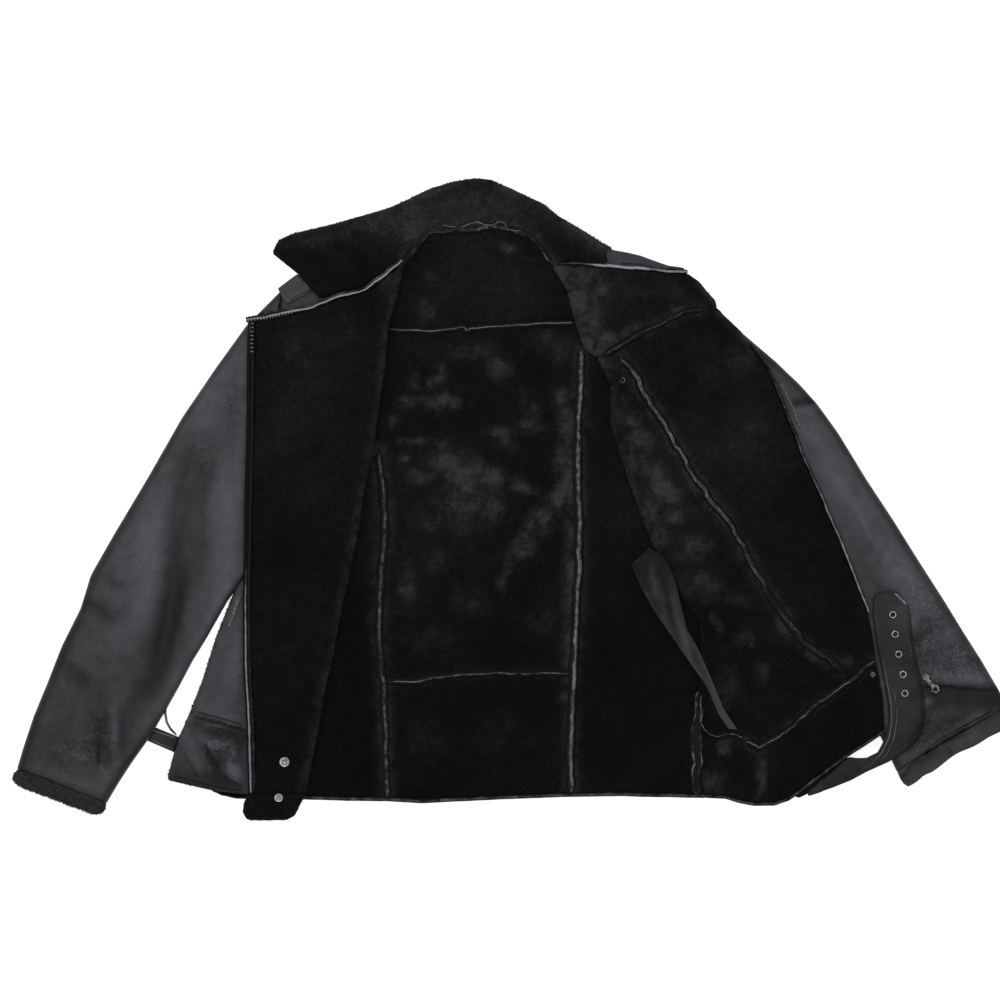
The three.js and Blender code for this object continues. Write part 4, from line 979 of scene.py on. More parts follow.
def folded_at(x, y):
    """How deep each place lies in the shade side of a sharp fold."""
    right, down = astray(x, y, 2.2, 0.02, (151, 157))
    deepest = np.zeros(x.shape)
    for fold in fold_lines:
        share, below = along_and_beside(right, down, fold)
        inside = ease(below, -0.8, 0.8) * np.exp(-np.maximum(below, 0) / fold["reach"])
        ends = ease(share, -0.06, 0.1) * ease(-share, -1.06, -0.9)
        deepest = np.maximum(deepest, fold["depth"] * inside * ends)
    return deepest


print("sharp folds:", len(fold_lines))

# %% [markdown]
# A crease is a soft ridge or hollow across the leather, highest at its middle. It raises the
# mesh, and what stands up is also painted a little lighter, as a painted highlight.

# %% Creases and leather numbers
def crease_rise(x, y, creases):
    """How far the creases raise or sink the leather at each place, in metres."""
    right, down = astray(x, y, 1.6, 0.018, (61, 67))
    total = np.zeros(x.shape)
    for crease in creases:
        share, _ = along_and_beside(right, down, crease)
        share = np.clip(share, 0, 1)
        bx, by = crease["to_x"] - crease["x"], crease["to_y"] - crease["y"]
        away = np.hypot(right - crease["x"] - bx * share, down - crease["y"] - by * share) / crease["width"]
        total += crease["rise"] * MM * np.sin(np.pi * (0.12 + 0.76 * share)) * np.exp(-away * away)
    return total


def laid_on(x, y, patches):
    """The sum of some patches at each place."""
    right, down = astray(x, y, 5, 0.03, (131, 137))
    return sum(patch["light"] * np.exp(-patch_distance(right, down, patch)) for patch in patches)


def give_leather_numbers(mesh, x, y, rise, edge=0.0, base=0.36):
    """Numbers for the leather finish: painted highlights and painted shade, and how crumpled it is."""
    # Painted light: highlights from the patches and from what the creases raise, plus the edge shade given, less
    # painted shade on the shaded side of sharp folds.
    painted_light = base + laid_on(x, y, light_and_shade_patches) + 0.10 * rise / MM + edge - folded_at(x, y)
    keep_number(mesh, "rub", np.clip(painted_light, -0.2, 1.3))
    keep_number(mesh, "crumple", np.clip(laid_on(x, y, crumple_patches), 0, 1))


print("creases on the sleeves:", len(left_creases) + len(right_creases))

# %% [markdown]
# A sleeve's rows are joined into rings: a flat top, a rounded turn at each edge and a flat
# underside. The relief, the folds and the creases move only what faces up.

# %% Sleeve forms
SLEEVE_TOP = 18.0 * MM
HIDE = 7.5 * MM - 0.3 * MM
TOP_STEPS, EDGE_STEPS, UNDER_STEPS = 44, 7, 14
ROW_PITCH = 3.2 * MM


def between_rows(rows):
    """The sleeve's edges every few millimetres along the arm, on a smooth line."""
    outer = np.array([spot(row["outer_x"], row["outer_y"]) for row in rows])
    inner = np.array([spot(row["inner_x"], row["inner_y"]) for row in rows])
    middle = (outer + inner) / 2
    gone = gone_along(middle)
    wanted = np.linspace(0, gone[-1], int(gone[-1] / ROW_PITCH) + 1)
    smooth = [np.stack([np.interp(wanted, gone, edge[:, k]) for k in (0, 1)], axis=1)
              for edge in (outer, inner)]
    blur = np.array([1, 2, 1]) / 4
    for edge in smooth:
        for k in (0, 1):
            edge[1:-1, k] = np.convolve(edge[:, k], blur, "valid")
    return smooth


def ring_shares():
    """Where a row's points lie: a share across from -1 to 1 and a turn at each edge."""
    ring = [("top", 1 - 2 * k / TOP_STEPS) for k in range(TOP_STEPS)]
    ring += [("far", math.pi * k / EDGE_STEPS) for k in range(EDGE_STEPS)]
    ring += [("under", 2 * k / UNDER_STEPS - 1) for k in range(UNDER_STEPS)]
    ring += [("near", math.pi * k / EDGE_STEPS) for k in range(EDGE_STEPS)]
    return ring


def sleeve_form(name, rows, creases, seed):
    outer, inner = between_rows(rows)
    ring = ring_shares()
    radius = SLEEVE_TOP / 2
    points, across = [], []
    for a, b in zip(outer, inner):
        middle, half = (a + b) / 2, np.linalg.norm(b - a) / 2
        along = (b - a) / (2 * half)
        straight = half - radius
        for part, share in ring:
            if part == "top":
                offset, height = straight * share, SLEEVE_TOP
            elif part == "far":
                offset, height = -straight - radius * math.sin(share), radius + radius * math.cos(share)
            elif part == "under":
                offset, height = straight * share, 0.0
            else:
                offset, height = straight + radius * math.sin(share), radius - radius * math.cos(share)
            points.append((*(middle + along * offset), height))
            across.append((half - abs(offset)) / STEP)
    points, across = np.array(points), np.array(across)
    x, y = points[:, 0], points[:, 1]
    up = ease(points[:, 2], 0.4 * SLEEVE_TOP, 0.98 * SLEEVE_TOP)
    creased = 1.35 * crease_rise(x, y, creases)
    relief = creased - 2.2 * MM * folded_at(x, y) + 2.0 * MM * cloud(x * 1.6, y * 0.7, 0.05, seed)
    relief += 0.5 * MM * cloud(x * 2.2, y * 0.8, 0.013, seed + 3) - 0.7 * MM
    points[:, 2] += up * relief
    count = len(ring)
    faces = [(start + c, start + (c + 1) % count, start + count + (c + 1) % count, start + count + c)
             for start in range(0, (len(outer) - 1) * count, count) for c in range(count)]
    piece = new_piece(name, points.tolist(), faces, open_tube=True)
    # Painted shade: the colour is darker near the sleeve's rounded edges, where they turn away from the light.
    edge_shade = -0.34 * (1 - ease(across, 0, 13)) * ease(across, -1, 2)
    give_leather_numbers(piece.data, x, y, creased, edge_shade)
    wall = piece.modifiers.new("hide", "SOLIDIFY")
    wall.thickness, wall.offset = HIDE, -1.0
    return baked(piece)


print("points on a ring:", len(ring_shares()))

# %% [markdown]
# Both sleeves are made the same way. Each lies flat, with its own rows, creases and relief,
# and its wall is as thick as the hide.

# %% Both sleeves
sleeves = table("node rows creases seed", [("sleeve_left", left_sleeve_rows, left_creases, 41),
                                           ("sleeve_right", right_sleeve_rows, right_creases, 43)])
for sleeve in sleeves:
    piece = sleeve_form(sleeve["node"] + "_hide", sleeve["rows"], sleeve["creases"], sleeve["seed"])
    settle(piece, leather, "leather", sleeve["node"])
    print(piece.name, "faces:", len(piece.data.polygons))

# %% [markdown]
# The other leather panels start from their solids as the wool ones do. The left front lies
# leather up beside the sleeve, with a lapped hem band, a few pulls near the pocket and a
# rolled lip at the hem.

# %% Leather panels
panel_creases = table(CREASE, [
    (205, 745, 222, 772, 4, -1.0), (214, 742, 226, 770, 4, 1.0), (228, 740, 236, 765, 4, 0.9),
    (196, 758, 205, 776, 4, 0.8), (236, 745, 240, 786, 3, -0.8), (214, 776, 236, 782, 4, -0.8),
    (196, 708, 245, 721, 4, 0.9), (240, 640, 236, 700, 6, 0.9), (222, 650, 214, 700, 6, -0.8),
    (170, 776, 246, 792, 3, -1.0), (228, 610, 238, 640, 5, 0.7), (190, 740, 184, 766, 5, 0.7),
    (262, 306, 246, 322, 5, 0.8), (283, 296, 306, 283, 3, -0.8)])
panel_pulls = {
    "cuff_right": [(958, 764, 20, 0, -5), (924, 778, 7, 0, -2), (990, 742, 14, 0, -2)],
    "collar_tab": [(309, 280, 9, 5, -1)],
    "shoulder_right": [(612, 255, 9, -6, 0), (616, 262, 9, -6, 1.5), (640, 266, 26, 0, 1.5)],
    "belt_tongue": [(843, 763, 9, 0, -4), (820, 786, 9, 0, -1.5)]}


def leather_panel(node, pitch, lift, base):
    piece = even_net(node + "_leather", node, pitch)
    points, normals = points_and_normals(piece.data)
    x, y = points[:, 0], points[:, 1]
    up = ease(normals[:, 2], 0.2, 0.8) * open_above(points, normals)
    rise = crease_rise(x, y, panel_creases)
    relief = rise - 1.6 * MM * folded_at(x, y) + 0.8 * MM * cloud(x, y, 0.03, 71) - 0.2 * MM
    points[:, 2] += up * lift * relief
    spread_sides(points, normals, 0.6 * MM)
    pulled(points, panel_pulls.get(node, []))
    move_points(piece.data, points)
    give_leather_numbers(piece.data, x, y, rise, base=base)
    return settle(piece, leather, "leather", node)


leather_panels = table("node pitch lift base", [
    ("front_left_side", 2.2, 1.0, 0.34), ("hem_band_left", 1.3, 0.9, 0.34), ("collar_tab", 0.9, 0.4, 0.5),
    ("shoulder_right", 1.8, 1.0, 0.2), ("cuff_right", 1.6, 1.0, 0.34), ("belt_tongue", 1.25, 0.3, 0.02),
    ("belt_left", 1.0, 0.3, 0.2)])
for panel in leather_panels:
    piece = leather_panel(panel["node"], panel["pitch"] * MM, panel["lift"], panel["base"])
    print(piece.name, "faces:", len(piece.data.polygons))

# %% [markdown]
# The left cuff is turned back, so its wool shows as a black roll, painted a little lighter all
# over as painted sheen on the roll. It is a net with tufts, as the wool panels are.

# %% Wool cuff
# Painted sheen: one level of it over the whole cuff roll.
CUFF_NAP_SHEEN = 0.62
cuff = even_net("cuff_left_wool", "cuff_left", 1.6 * MM)
points, normals = points_and_normals(cuff.data)
points += normals * (0.5 * MM * cloud(points[:, 0], points[:, 1], 0.01, 83))[:, None]
keep_number(cuff.data, "nap", np.full(len(points), CUFF_NAP_SHEEN))
keep_number(cuff.data, "pile", (normals[:, 2] > 0.0).astype(float))
move_points(cuff.data, points)
settle(cuff, wool, "wool", "cuff_left")
cuff_pile = grown("cuff_left_pile", cuff, tufts, {"Density": TUFT_DENSITY, "Seed": 29}, wool, "wool")
print("cuff faces:", len(cuff.data.polygons), "tufts:", len(cuff_pile.data.polygons))

# %% [markdown]
# The pocket bag is thin twill that has been pulled out and lies creased over the seam. Its fold
# number paints the ridges lighter, as painted highlights, and is lighter towards its tip and
# darker at its top end.

# %% Pocket bag
bag_creases = table(CREASE, [
    (650, 555, 655, 600, 3, 0.9), (660, 570, 676, 640, 3, -0.8), (672, 600, 694, 670, 3, 0.9),
    (690, 650, 712, 700, 3, -0.7), (700, 670, 728, 728, 3, 0.8), (640, 575, 660, 612, 3, -0.6),
    (698, 640, 736, 732, 3, 1.0), (694, 650, 726, 728, 2.5, -0.9), (688, 660, 716, 716, 2.5, 0.8)])
bag = even_net("pocket_bag_twill", "pocket_bag", 1.3 * MM)
points, normals = points_and_normals(bag.data)
rise = crease_rise(points[:, 0], points[:, 1], bag_creases)
points[:, 2] += 1.3 * ease(normals[:, 2], 0.2, 0.8) * rise
move_points(bag.data, points)
_, down = chart_of(points[:, 0], points[:, 1])
# Lighter towards the tip and darker at the top end; the rise term is a painted highlight on the ridges.
tone = 0.38 + 0.3 * ease(down, 610, 690) - 0.3 * ease(-down, -600, -560)
tone += 0.12 * cloud(points[:, 0], points[:, 1], 0.012, 87) + 0.28 * rise / MM
keep_number(bag.data, "fold", np.clip(tone, 0, 1))
settle(bag, twill, "pocketing", "pocket_bag")
print("bag faces:", len(bag.data.polygons))

# %% [markdown]
# ## Seam strips and bindings
# Both are narrow leather laid along a line. One function sweeps a small cross-section along
# it: each row of the section says how far to the side it is, how high, and how worn. The
# seam strips wander and fray as they go, and the bindings stay neat.

# %% Walking along a line
RAY_TOP = 0.2
UNKNOWN_HEIGHT = 3.5 * MM


def walk(line, pitch):
    """Even places along a line of chart squares, with the direction to the right of travel."""
    points = np.array([spot(*square) for square in line])
    gone = gone_along(points)
    wanted = np.linspace(0, gone[-1], max(2, int(gone[-1] / pitch) + 1))
    places = np.stack([np.interp(wanted, gone, points[:, k]) for k in (0, 1)], axis=1)
    ahead = np.gradient(places, axis=0)
    ahead /= np.linalg.norm(ahead, axis=1)[:, None]
    return places, np.stack([ahead[:, 1], -ahead[:, 0]], axis=1), wanted


def tops_under(tree, places):
    """The height of a form's top at each place, carried over where a place is off it."""
    heights = []
    for place in places:
        hit = tree.ray_cast(Vector((*place, RAY_TOP)), Vector((0, 0, -1)))[0]
        heights.append(hit.z if hit else (heights[-1] if heights else None))
    known = next((height for height in heights if height is not None), UNKNOWN_HEIGHT)
    return np.array([known if height is None else height for height in heights])


print("rays start", RAY_TOP, "m up")

# %% [markdown]
# A sweep is a grid: a row of the section for each line of points, and a place on the line for
# each column. Its number called edge says how light each point is painted: the section's own
# wear and crest highlight, times the shine, a painted highlight which changes along the line.

# %% Sweeping a section along a line
SECTION = "side height worn"
SWEEP_PITCH = 1.6 * MM
SMOOTHING = 9


def swept(name, ground, line, section, ragged, seed, shine, taper=True):
    """A strip with a given section along a line, on the height of a solid or of a tree of faces."""
    rows = table(SECTION, section)
    places, side, gone = walk(line, SWEEP_PITCH)
    middle = sum(row["side"] for row in rows) / len(rows) * MM
    under = ground if isinstance(ground, BVHTree) else tree_of([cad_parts[ground]])
    heights = np.pad(tops_under(under, places + side * middle), SMOOTHING // 2, mode="edge")
    heights = np.convolve(heights, np.ones(SMOOTHING) / SMOOTHING, "valid")
    sway = ragged * (2.4 * MM * cloud(gone, gone * 0 + seed, 0.026, seed)
                     + 1.7 * MM * cloud(gone, gone * 0 + 2, 0.011, seed))
    thin = ease(np.minimum(gone, gone[-1] - gone), -1.0 * MM, 5.0 * MM) if taper else np.ones(len(places))
    along = np.interp(gone / gone[-1], *zip(*shine)) if isinstance(shine, list) else shine
    grid, worn = [], []
    for k, row in enumerate(rows):
        fray = ragged * cloud(gone, gone * 0 + k * 0.37, 0.0045, seed + 5 * k)
        lift = 1 + 0.55 * ragged * cloud(gone, gone * 0 + k * 0.11, 0.02, seed + 90 + k) + 0.35 * fray
        offset = row["side"] * MM * (1 + 0.25 * ragged * cloud(gone, gone * 0 + 3, 0.03, seed + 50)) + sway
        offset = offset * (0.35 + 0.65 * thin) + 0.4 * MM * fray
        spots = places + side * offset[:, None]
        stands = row["height"] > 0
        up = heights + row["height"] * MM * np.where(stands, lift, 1)
        up = np.maximum(up - 1.2 * MM * (1 - thin), 0.1 * MM)
        grid.append(np.column_stack([spots, up]))
        fade = 1 - ragged * (0.35 + 0.45 * cloud(gone, gone * 0 + k * 0.05, 0.028, seed + 70, 3))
        # Painted highlight: each row's share of wear and crest highlight, times the shine along the line.
        worn.append(np.clip(row["worn"] * along * fade * (1 + 0.4 * fray * stands), 0, 1.5))
    count, length = len(rows), len(places)
    points = np.stack(grid, axis=1).reshape(-1, 3)
    faces = [(r * count + k, (r + 1) * count + k, (r + 1) * count + k + 1, r * count + k + 1)
             for r in range(length - 1) for k in range(count - 1)]
    closing = [(r * count, r * count + count - 1, (r + 1) * count + count - 1, (r + 1) * count)
               for r in range(length - 1)]
    ends = [tuple(range(count)), tuple((length - 1) * count + k for k in reversed(range(count)))]
    piece = new_piece(name, points.tolist(), faces + closing + ends)
    keep_number(piece.data, "edge", np.stack(worn, axis=1).ravel())
    return piece


print("a sweep has a row every", SWEEP_PITCH / MM, "mm")

# %% [markdown]
# A seam strip shows one raw lip or two, which rise out of the wool and sink back into it. Each
# strip has its own section, how ragged it is, and its shine, the painted highlight on its crest:
# one number, or a list of shares of the way along with the shine there.

# %% Seam strips
WIDE_SEAM = [(-8.4, -5.0, 0.0), (-6.4, -1.4, 0.0), (-5.4, -0.2, 0.5), (-4.6, 0.3, 0.95), (-3.8, -0.4, 0.2),
             (-2.2, -0.9, 0.0), (-0.4, -0.5, 0.25), (1.0, -0.8, 0.0), (2.6, -0.5, 0.3), (3.6, 0.2, 0.85),
             (4.4, 0.3, 0.6), (5.4, -0.5, 0.1), (6.4, -1.4, 0.0), (8.4, -5.0, 0.0)]
BROAD_SEAM = [(-6.4, -5.0, 0.0), (-4.4, -0.9, 0.0), (-3.2, -0.2, 0.15), (-2.2, 0.6, 0.85), (-0.8, 0.9, 1.0),
              (0.8, 0.9, 0.9), (1.8, 0.3, 0.5), (3.0, -0.5, 0.1), (4.4, -0.9, 0.0), (6.4, -5.0, 0.0)]


def strip_section(half, double=False, deep=5.0):
    """A raw lip, or two with a groove between them, sewn down into the wool at both sides."""
    foot = [(-half - 2.0, -deep, 0.0), (-half, -0.9, 0.0)]
    if double:
        lips = [(-0.62 * half, -0.2, 0.15), (-0.42 * half, 0.6, 0.8), (-0.28 * half, 0.5, 0.7),
                (-0.08 * half, -0.5, 0.1), (0.14 * half, 0.1, 0.5), (0.3 * half, 0.7, 1.0),
                (0.46 * half, 0.3, 0.5), (0.66 * half, -0.4, 0.1)]
    else:
        lips = [(-0.5 * half, -0.1, 0.1), (-0.3 * half, 0.6, 0.55), (-0.1 * half, 1.0, 1.0),
                (0.12 * half, 0.9, 0.9), (0.3 * half, 0.2, 0.3), (0.5 * half, -0.5, 0.05)]
    return foot + lips + [(half, -0.9, 0.0), (half + 2.0, -deep, 0.0)]


seam_strips = table("node line section ragged shine", [
    ("ridge_neck", neck_line, strip_section(3.2, double=True, deep=24.0), 1.3, [(0, 1.0), (0.25, 1.0),
     (0.4, 1.4), (0.6, 1.4), (0.75, 1.0), (0.9, 0.9), (1, 1.4)]),
    ("ridge_yoke", yoke_line, strip_section(2.8), 0.6, 1.0),
    ("ridge_back_left", back_left_line, BROAD_SEAM, 0.5, 0.62),
    ("ridge_back_right", back_right_line, BROAD_SEAM, 0.7, 0.9),
    ("ridge_back_cross", back_cross_line, strip_section(2.8), 1.0, 1.0),
    ("ridge_side_right", side_right_line, WIDE_SEAM, 1.6, 1.5),
    ("ridge_shoulder_right", lapel_line, strip_section(2.4), 1.0, 0.8),
    ("ridge_diagonal", diagonal_line, strip_section(3.2, double=True), 1.35, [(0, 1.7), (0.3, 1.9),
     (0.55, 1.6), (0.8, 1.1), (1, 0.8)]),
    ("ridge_hem_right", hem_right_line, strip_section(3.0), 1.2, 1.1)])
for number, strip in enumerate(seam_strips):
    node = strip["node"]
    piece = swept(node.replace("ridge", "seam"), node, strip["line"], strip["section"], strip["ragged"],
                  101 + 13 * number, strip["shine"])
    settle(piece, strip_leather, "binding", node)
print("seam strips:", len(seam_strips))

# %% [markdown]
# A binding is a strip of leather folded round the cut edge of the hides. It stands proud of
# the wool, is sewn along its inner side, and is pale where it is worn and where a painted
# highlight lies on its crest, which changes along it.

# %% Bindings
flap_edge = [(256.5, 321), (255, 435), (252.5, 557), (251.5, 604), (252.5, 670), (255.5, 725), (257, 792)]
flap_top = [(247, 323.5), (262, 321.5), (283, 317.5), (314, 309.8), (335, 302), (358, 295.5), (368, 292),
    (381, 282.5), (393, 272.5), (404, 263)]
lapel_top = [(558, 266), (573, 266), (596, 268), (620, 269.5), (639, 271.5), (663, 274), (687, 275.5)]
right_edge = [(748, 346), (754, 354), (765, 369), (773, 387), (784, 413.5), (800, 456), (828.5, 520),
    (842, 552), (854, 583), (866, 613)]
back_hem = [(302, 795), (345, 796.5), (387, 797), (421, 799), (504, 795), (571, 792.5), (620, 792),
    (690, 793.5), (704, 794)]
front_hem = [(692, 793.5), (726, 795), (738, 799), (754, 802), (773.5, 802), (787, 797.5), (797, 790.5),
    (820, 773), (846, 753), (882, 729)]
binding_strips = table("node line ragged shine section", [
    ("binding_left_edge", flap_edge, 0.12, [(0, 0.6), (0.066, 0.5), (0.09, 0.1), (0.5, 0.1), (0.58, 1.1),
     (0.8, 1.35), (1, 1.35)], [(0.4, -5.0, 0.0), (0.6, -0.5, 0.15), (2.0, 0.0, 0.3), (3.4, -0.1, 0.12),
     (4.6, -0.9, 0.0), (5.6, -0.2, 0.35), (6.6, 0.9, 0.75), (7.6, 0.7, 0.55), (8.4, -0.6, 0.1),
     (9.6, -1.0, 0.12), (10.0, -3.0, 0.05), (10.0, -6.0, 0.0)]),
    ("binding_left_top", flap_top, 0.55, [(0, 1.0), (0.12, 0.8), (0.2, 1.1), (0.33, 1.6), (0.45, 1.3),
     (0.6, 1.6), (0.7, 1.1), (0.82, 1.5), (1, 1.6)], [(-7.4, -6.0, 0.0), (-7.4, -2.2, 0.2),
     (-6.6, -0.9, 0.5), (-5.8, -1.1, 0.1), (-5.0, -0.2, 0.3), (-4.2, 0.5, 1.0), (-3.2, 0.5, 1.0),
     (-2.4, -0.2, 0.3), (-1.2, -0.9, 0.0), (-0.2, -3.0, 0.0)]),
    ("binding_right_top", lapel_top, 0.5, [(0, 0.4), (0.26, 0.7), (0.33, 1.8), (0.64, 1.8), (0.72, 0.9),
     (0.85, 1.1), (1, 0.8)], [(-5.6, -6.0, 0.0), (-5.6, -2.0, 0.2), (-4.6, -0.3, 0.6), (-3.4, 0.3, 1.0),
     (-2.4, 0.2, 1.0), (-1.4, -0.5, 0.2), (-0.5, -3.0, 0.0)]),
    ("binding_right_edge", right_edge, 0.4, [(0, 0.6), (0.3, 0.9), (0.6, 1.4), (0.8, 1.7), (1, 1.6)],
     [(-5.0, -6.0, 0.0), (-5.0, -2.0, 0.1), (-4.2, -0.4, 0.3), (-3.2, 0.3, 0.6), (-2.2, 0.2, 0.5),
     (-1.3, -0.6, 0.1), (-0.5, -3.0, 0.0)]),
    ("binding_back_hem", back_hem, 0.12, 1.0, [(-0.6, -5.0, 0.0), (-0.4, -0.8, 0.1), (0.8, -0.1, 0.3),
     (2.4, 0.2, 0.5), (4.0, -0.4, 0.4), (5.0, -2.0, 0.2), (5.2, -6.5, 0.0)]),
    ("binding_front_hem", front_hem, 0.12, 1.0, [(-0.6, -5.0, 0.0), (-0.4, -0.8, 0.1), (0.8, -0.1, 0.3),
     (2.2, 0.2, 0.5), (3.6, -0.5, 0.35), (4.4, -2.0, 0.2), (4.6, -6.5, 0.0)])])
for number, strip in enumerate(binding_strips):
    node = strip["node"]
    piece = swept(node + "_strip", node, strip["line"], strip["section"], strip["ragged"], 301 + 9 * number,
                  strip["shine"], taper=False)
    settle(piece, binding_leather, "binding", node)
print("bindings:", len(binding_strips))

# %% [markdown]
# Some narrow pieces are too small to have a solid of their own: the leather lip round the
# left hem tab, the curved seam of the pocket, the second edge of the neck seam, the raised
# edges of the belt and the bar at its tip. They are swept too, and they rest on whatever
# shows under them.

# %% Sections of the small strips
LIP = [(-2.6, -3.0, 0.0), (-2.2, 0.2, 0.25), (-1.0, 0.8, 0.55), (0.4, 1.0, 0.6), (1.8, 0.4, 0.35),
       (2.6, -2.5, 0.0)]
FINE = [(-1.5, -1.2, 0.0), (-0.8, 0.2, 0.3), (-0.2, 0.7, 1.0), (0.4, 0.6, 0.9), (0.9, 0.0, 0.2),
        (1.5, -1.2, 0.0)]
CORD = [(-0.9, -0.8, 0.0), (-0.5, 0.1, 0.35), (0.0, 0.4, 0.9), (0.5, 0.1, 0.35), (0.9, -0.8, 0.0)]
PROUD = [(-1.9, -1.5, 0.0), (-1.2, 0.8, 0.3), (-0.3, 1.5, 0.9), (0.5, 1.4, 0.9), (1.2, 0.6, 0.2),
         (1.9, -1.5, 0.0)]
STAND = [(-3.4, -24.0, 0.0), (-3.4, -3.4, 0.0), (0.0, -3.0, 0.0), (3.4, -3.4, 0.0), (3.4, -24.0, 0.0)]
BAND = [(-6.0, -2.0, 0.0), (-5.0, -0.1, 0.5), (-2.0, 0.5, 0.7), (2.0, 0.5, 0.6), (5.0, -0.1, 0.4),
        (6.0, -2.0, 0.0)]
BAR = [(-2.2, -0.8, 0.0), (-1.8, 0.5, 0.5), (-0.9, 0.9, 1.0), (0.9, 0.9, 1.0), (1.8, 0.5, 0.3),
       (2.2, -0.8, 0.0)]
shown = tree_of([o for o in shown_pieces() if o.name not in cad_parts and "pile" not in o.name])

# %% [markdown]
# Two of them rest on a solid of their own choice: the wall that closes the neck seam, which
# is hidden under the collar, and the worn edge at the belt's tail.

# %% Small strips
small_strips = table("name section ragged look shine line", [
    ("hem_tab_lip", LIP, 0.3, "binding", [(0, 0.3), (0.3, 0.5), (1, 0.5)], [(248.5, 797), (245.5, 805),
     (247.5, 813.5), (254, 817.5), (286, 817.5), (293.5, 813.5), (299, 804)]),
    ("hem_tab_corner", BAND, 0.3, "binding", [(0, 0.2), (1, 0.3)], [(254.5, 797), (252.5, 806),
     (254.5, 815)]),
    ("hem_under_lip", LIP, 0.4, "binding", [(0, 0.3), (1, 0.3)], [(211, 787.5), (222, 793), (235, 795.8),
     (248, 796.5)]),
    ("belt_left_strap", FINE, 0.1, "binding", [(0, 0.5), (0.5, 0.9), (1, 0.6)], [(166.5, 703), (165.5, 713),
     (167, 722), (171, 729), (177, 735)]),
    ("pocket_seam", FINE, 1.0, "raw", [(0, 1.1), (1, 1.1)], [(702.5, 694), (700.5, 703), (699.5, 712),
     (700.5, 722), (704, 731), (711, 736), (718, 737), (727, 734), (735, 735), (744, 740)]),
    ("neck_upper_lip", PROUD, 0.8, "raw", [(0, 1.0), (0.5, 1.3), (1, 0.9)], [(441, 225.5), (450, 227.5),
     (461, 226.5), (470, 224), (478, 222.8), (485, 226), (492, 225.5), (499, 222.5), (504, 223), (508, 230),
     (514, 232), (522, 231)]),
    ("neck_stand", STAND, 0.0, "raw", [(0, 0.0), (1, 0.0)], [(398, 270), *neck_line[:-1], (550, 262)]),
    ("yoke_under_strip", CORD, 0.8, "raw", [(0, 0.3), (1, 0.4)], [(400, 334.5), (425, 335), (448, 334.5),
     (465, 333)]),
    ("belt_inner_line", CORD, 0.0, "binding", [(0, 0.4), (0.3, 1.0), (0.8, 1.0), (1, 0.3)], [(878.5, 640),
     (883, 664), (887.5, 688), (890.5, 705), (891, 720), (888.5, 736), (882, 751), (872, 762.5),
     (854, 771)]),
    ("belt_outer_line", CORD, 0.0, "binding", [(0, 0.7), (0.5, 1.0), (1, 0.6)], [(893, 690), (895.5, 705),
     (896, 720), (893, 738), (886, 754), (874, 766)]),
    ("belt_tail_edge", BAND, 0.2, "binding", [(0, 0.3), (1, 0.4)], [(794, 795), (803, 790.5), (815, 782),
     (830, 771.5), (846, 760)]),
    ("belt_far_line", CORD, 0.0, "binding", [(0, 0.3), (1, 0.35)], [(908.5, 628), (913, 658), (920.6, 700),
     (920.4, 718), (916, 733), (905, 746)]),
    ("belt_tip_bar", BAR, 0.0, "binding", [(0, 0.7), (1, 0.8)], [(893.5, 592.5), (906, 604.5)]),
    ("belt_left_upper_line", FINE, 0.2, "binding", [(0, 0.9), (1, 1.1)], [(153, 730), (176, 738)]),
    ("belt_left_lower_line", FINE, 0.2, "binding", [(0, 0.7), (1, 0.8)], [(151, 740), (174, 749.5)]),
    ("tab_left_edge", CORD, 0.1, "binding", [(0, 0.8), (1, 0.9)], [(280.5, 289.5), (283.5, 296),
     (286.5, 302.5)]),
    ("tab_lower_edge", CORD, 0.1, "binding", [(0, 0.8), (1, 0.5)], [(287.5, 302), (300, 294.5),
     (313, 289.5)]),
    ("shoulder_thin_edge", CORD, 0.4, "binding", [(0, 0.5), (1, 0.6)], [(251, 319.5), (262, 314),
     (275, 310), (291, 307.5)]),
    ("right_shoulder_edge", CORD, 0.3, "binding", [(0, 0.3), (0.5, 0.8), (1, 0.4)], [(618, 263.5),
     (640, 264.5), (660, 267.5), (686, 271)]),
    ("hem_band_upper_line", CORD, 0.2, "binding", [(0, 0.3), (1, 0.4)], [(196, 710.5), (222, 718),
     (246, 725)]),
    ("hem_band_edge", CORD, 0.3, "binding", [(0, 0.25), (1, 0.35)], [(170, 775), (200, 782.5), (225, 787.5),
     (247, 791)]),
    ("cuff_seam_line", CORD, 0.5, "binding", [(0, 0.25), (1, 0.35)], [(901, 772), (920, 755), (939, 739),
     (965, 724), (992, 709)])])
laid_over = {"neck_stand": "ridge_neck", "belt_tail_edge": "belt_tongue"}
small_looks = {"binding": binding_leather, "raw": strip_leather}
for number, strip in enumerate(small_strips):
    ground = laid_over.get(strip["name"], shown)
    piece = swept(strip["name"], ground, strip["line"], strip["section"], strip["ragged"], 501 + 7 * number,
                  strip["shine"], taper=strip["section"] is not STAND)
    settle(piece, small_looks[strip["look"]], "binding")
print("small strips:", len(small_strips))

# %% [markdown]
# ## Stitches and zip teeth
# Both are one small form repeated along a line, so one tree of geometry nodes makes them:
# the line becomes a curve, the curve becomes evenly spaced points, and a bead or a block is
# set on each of them along the line's direction.

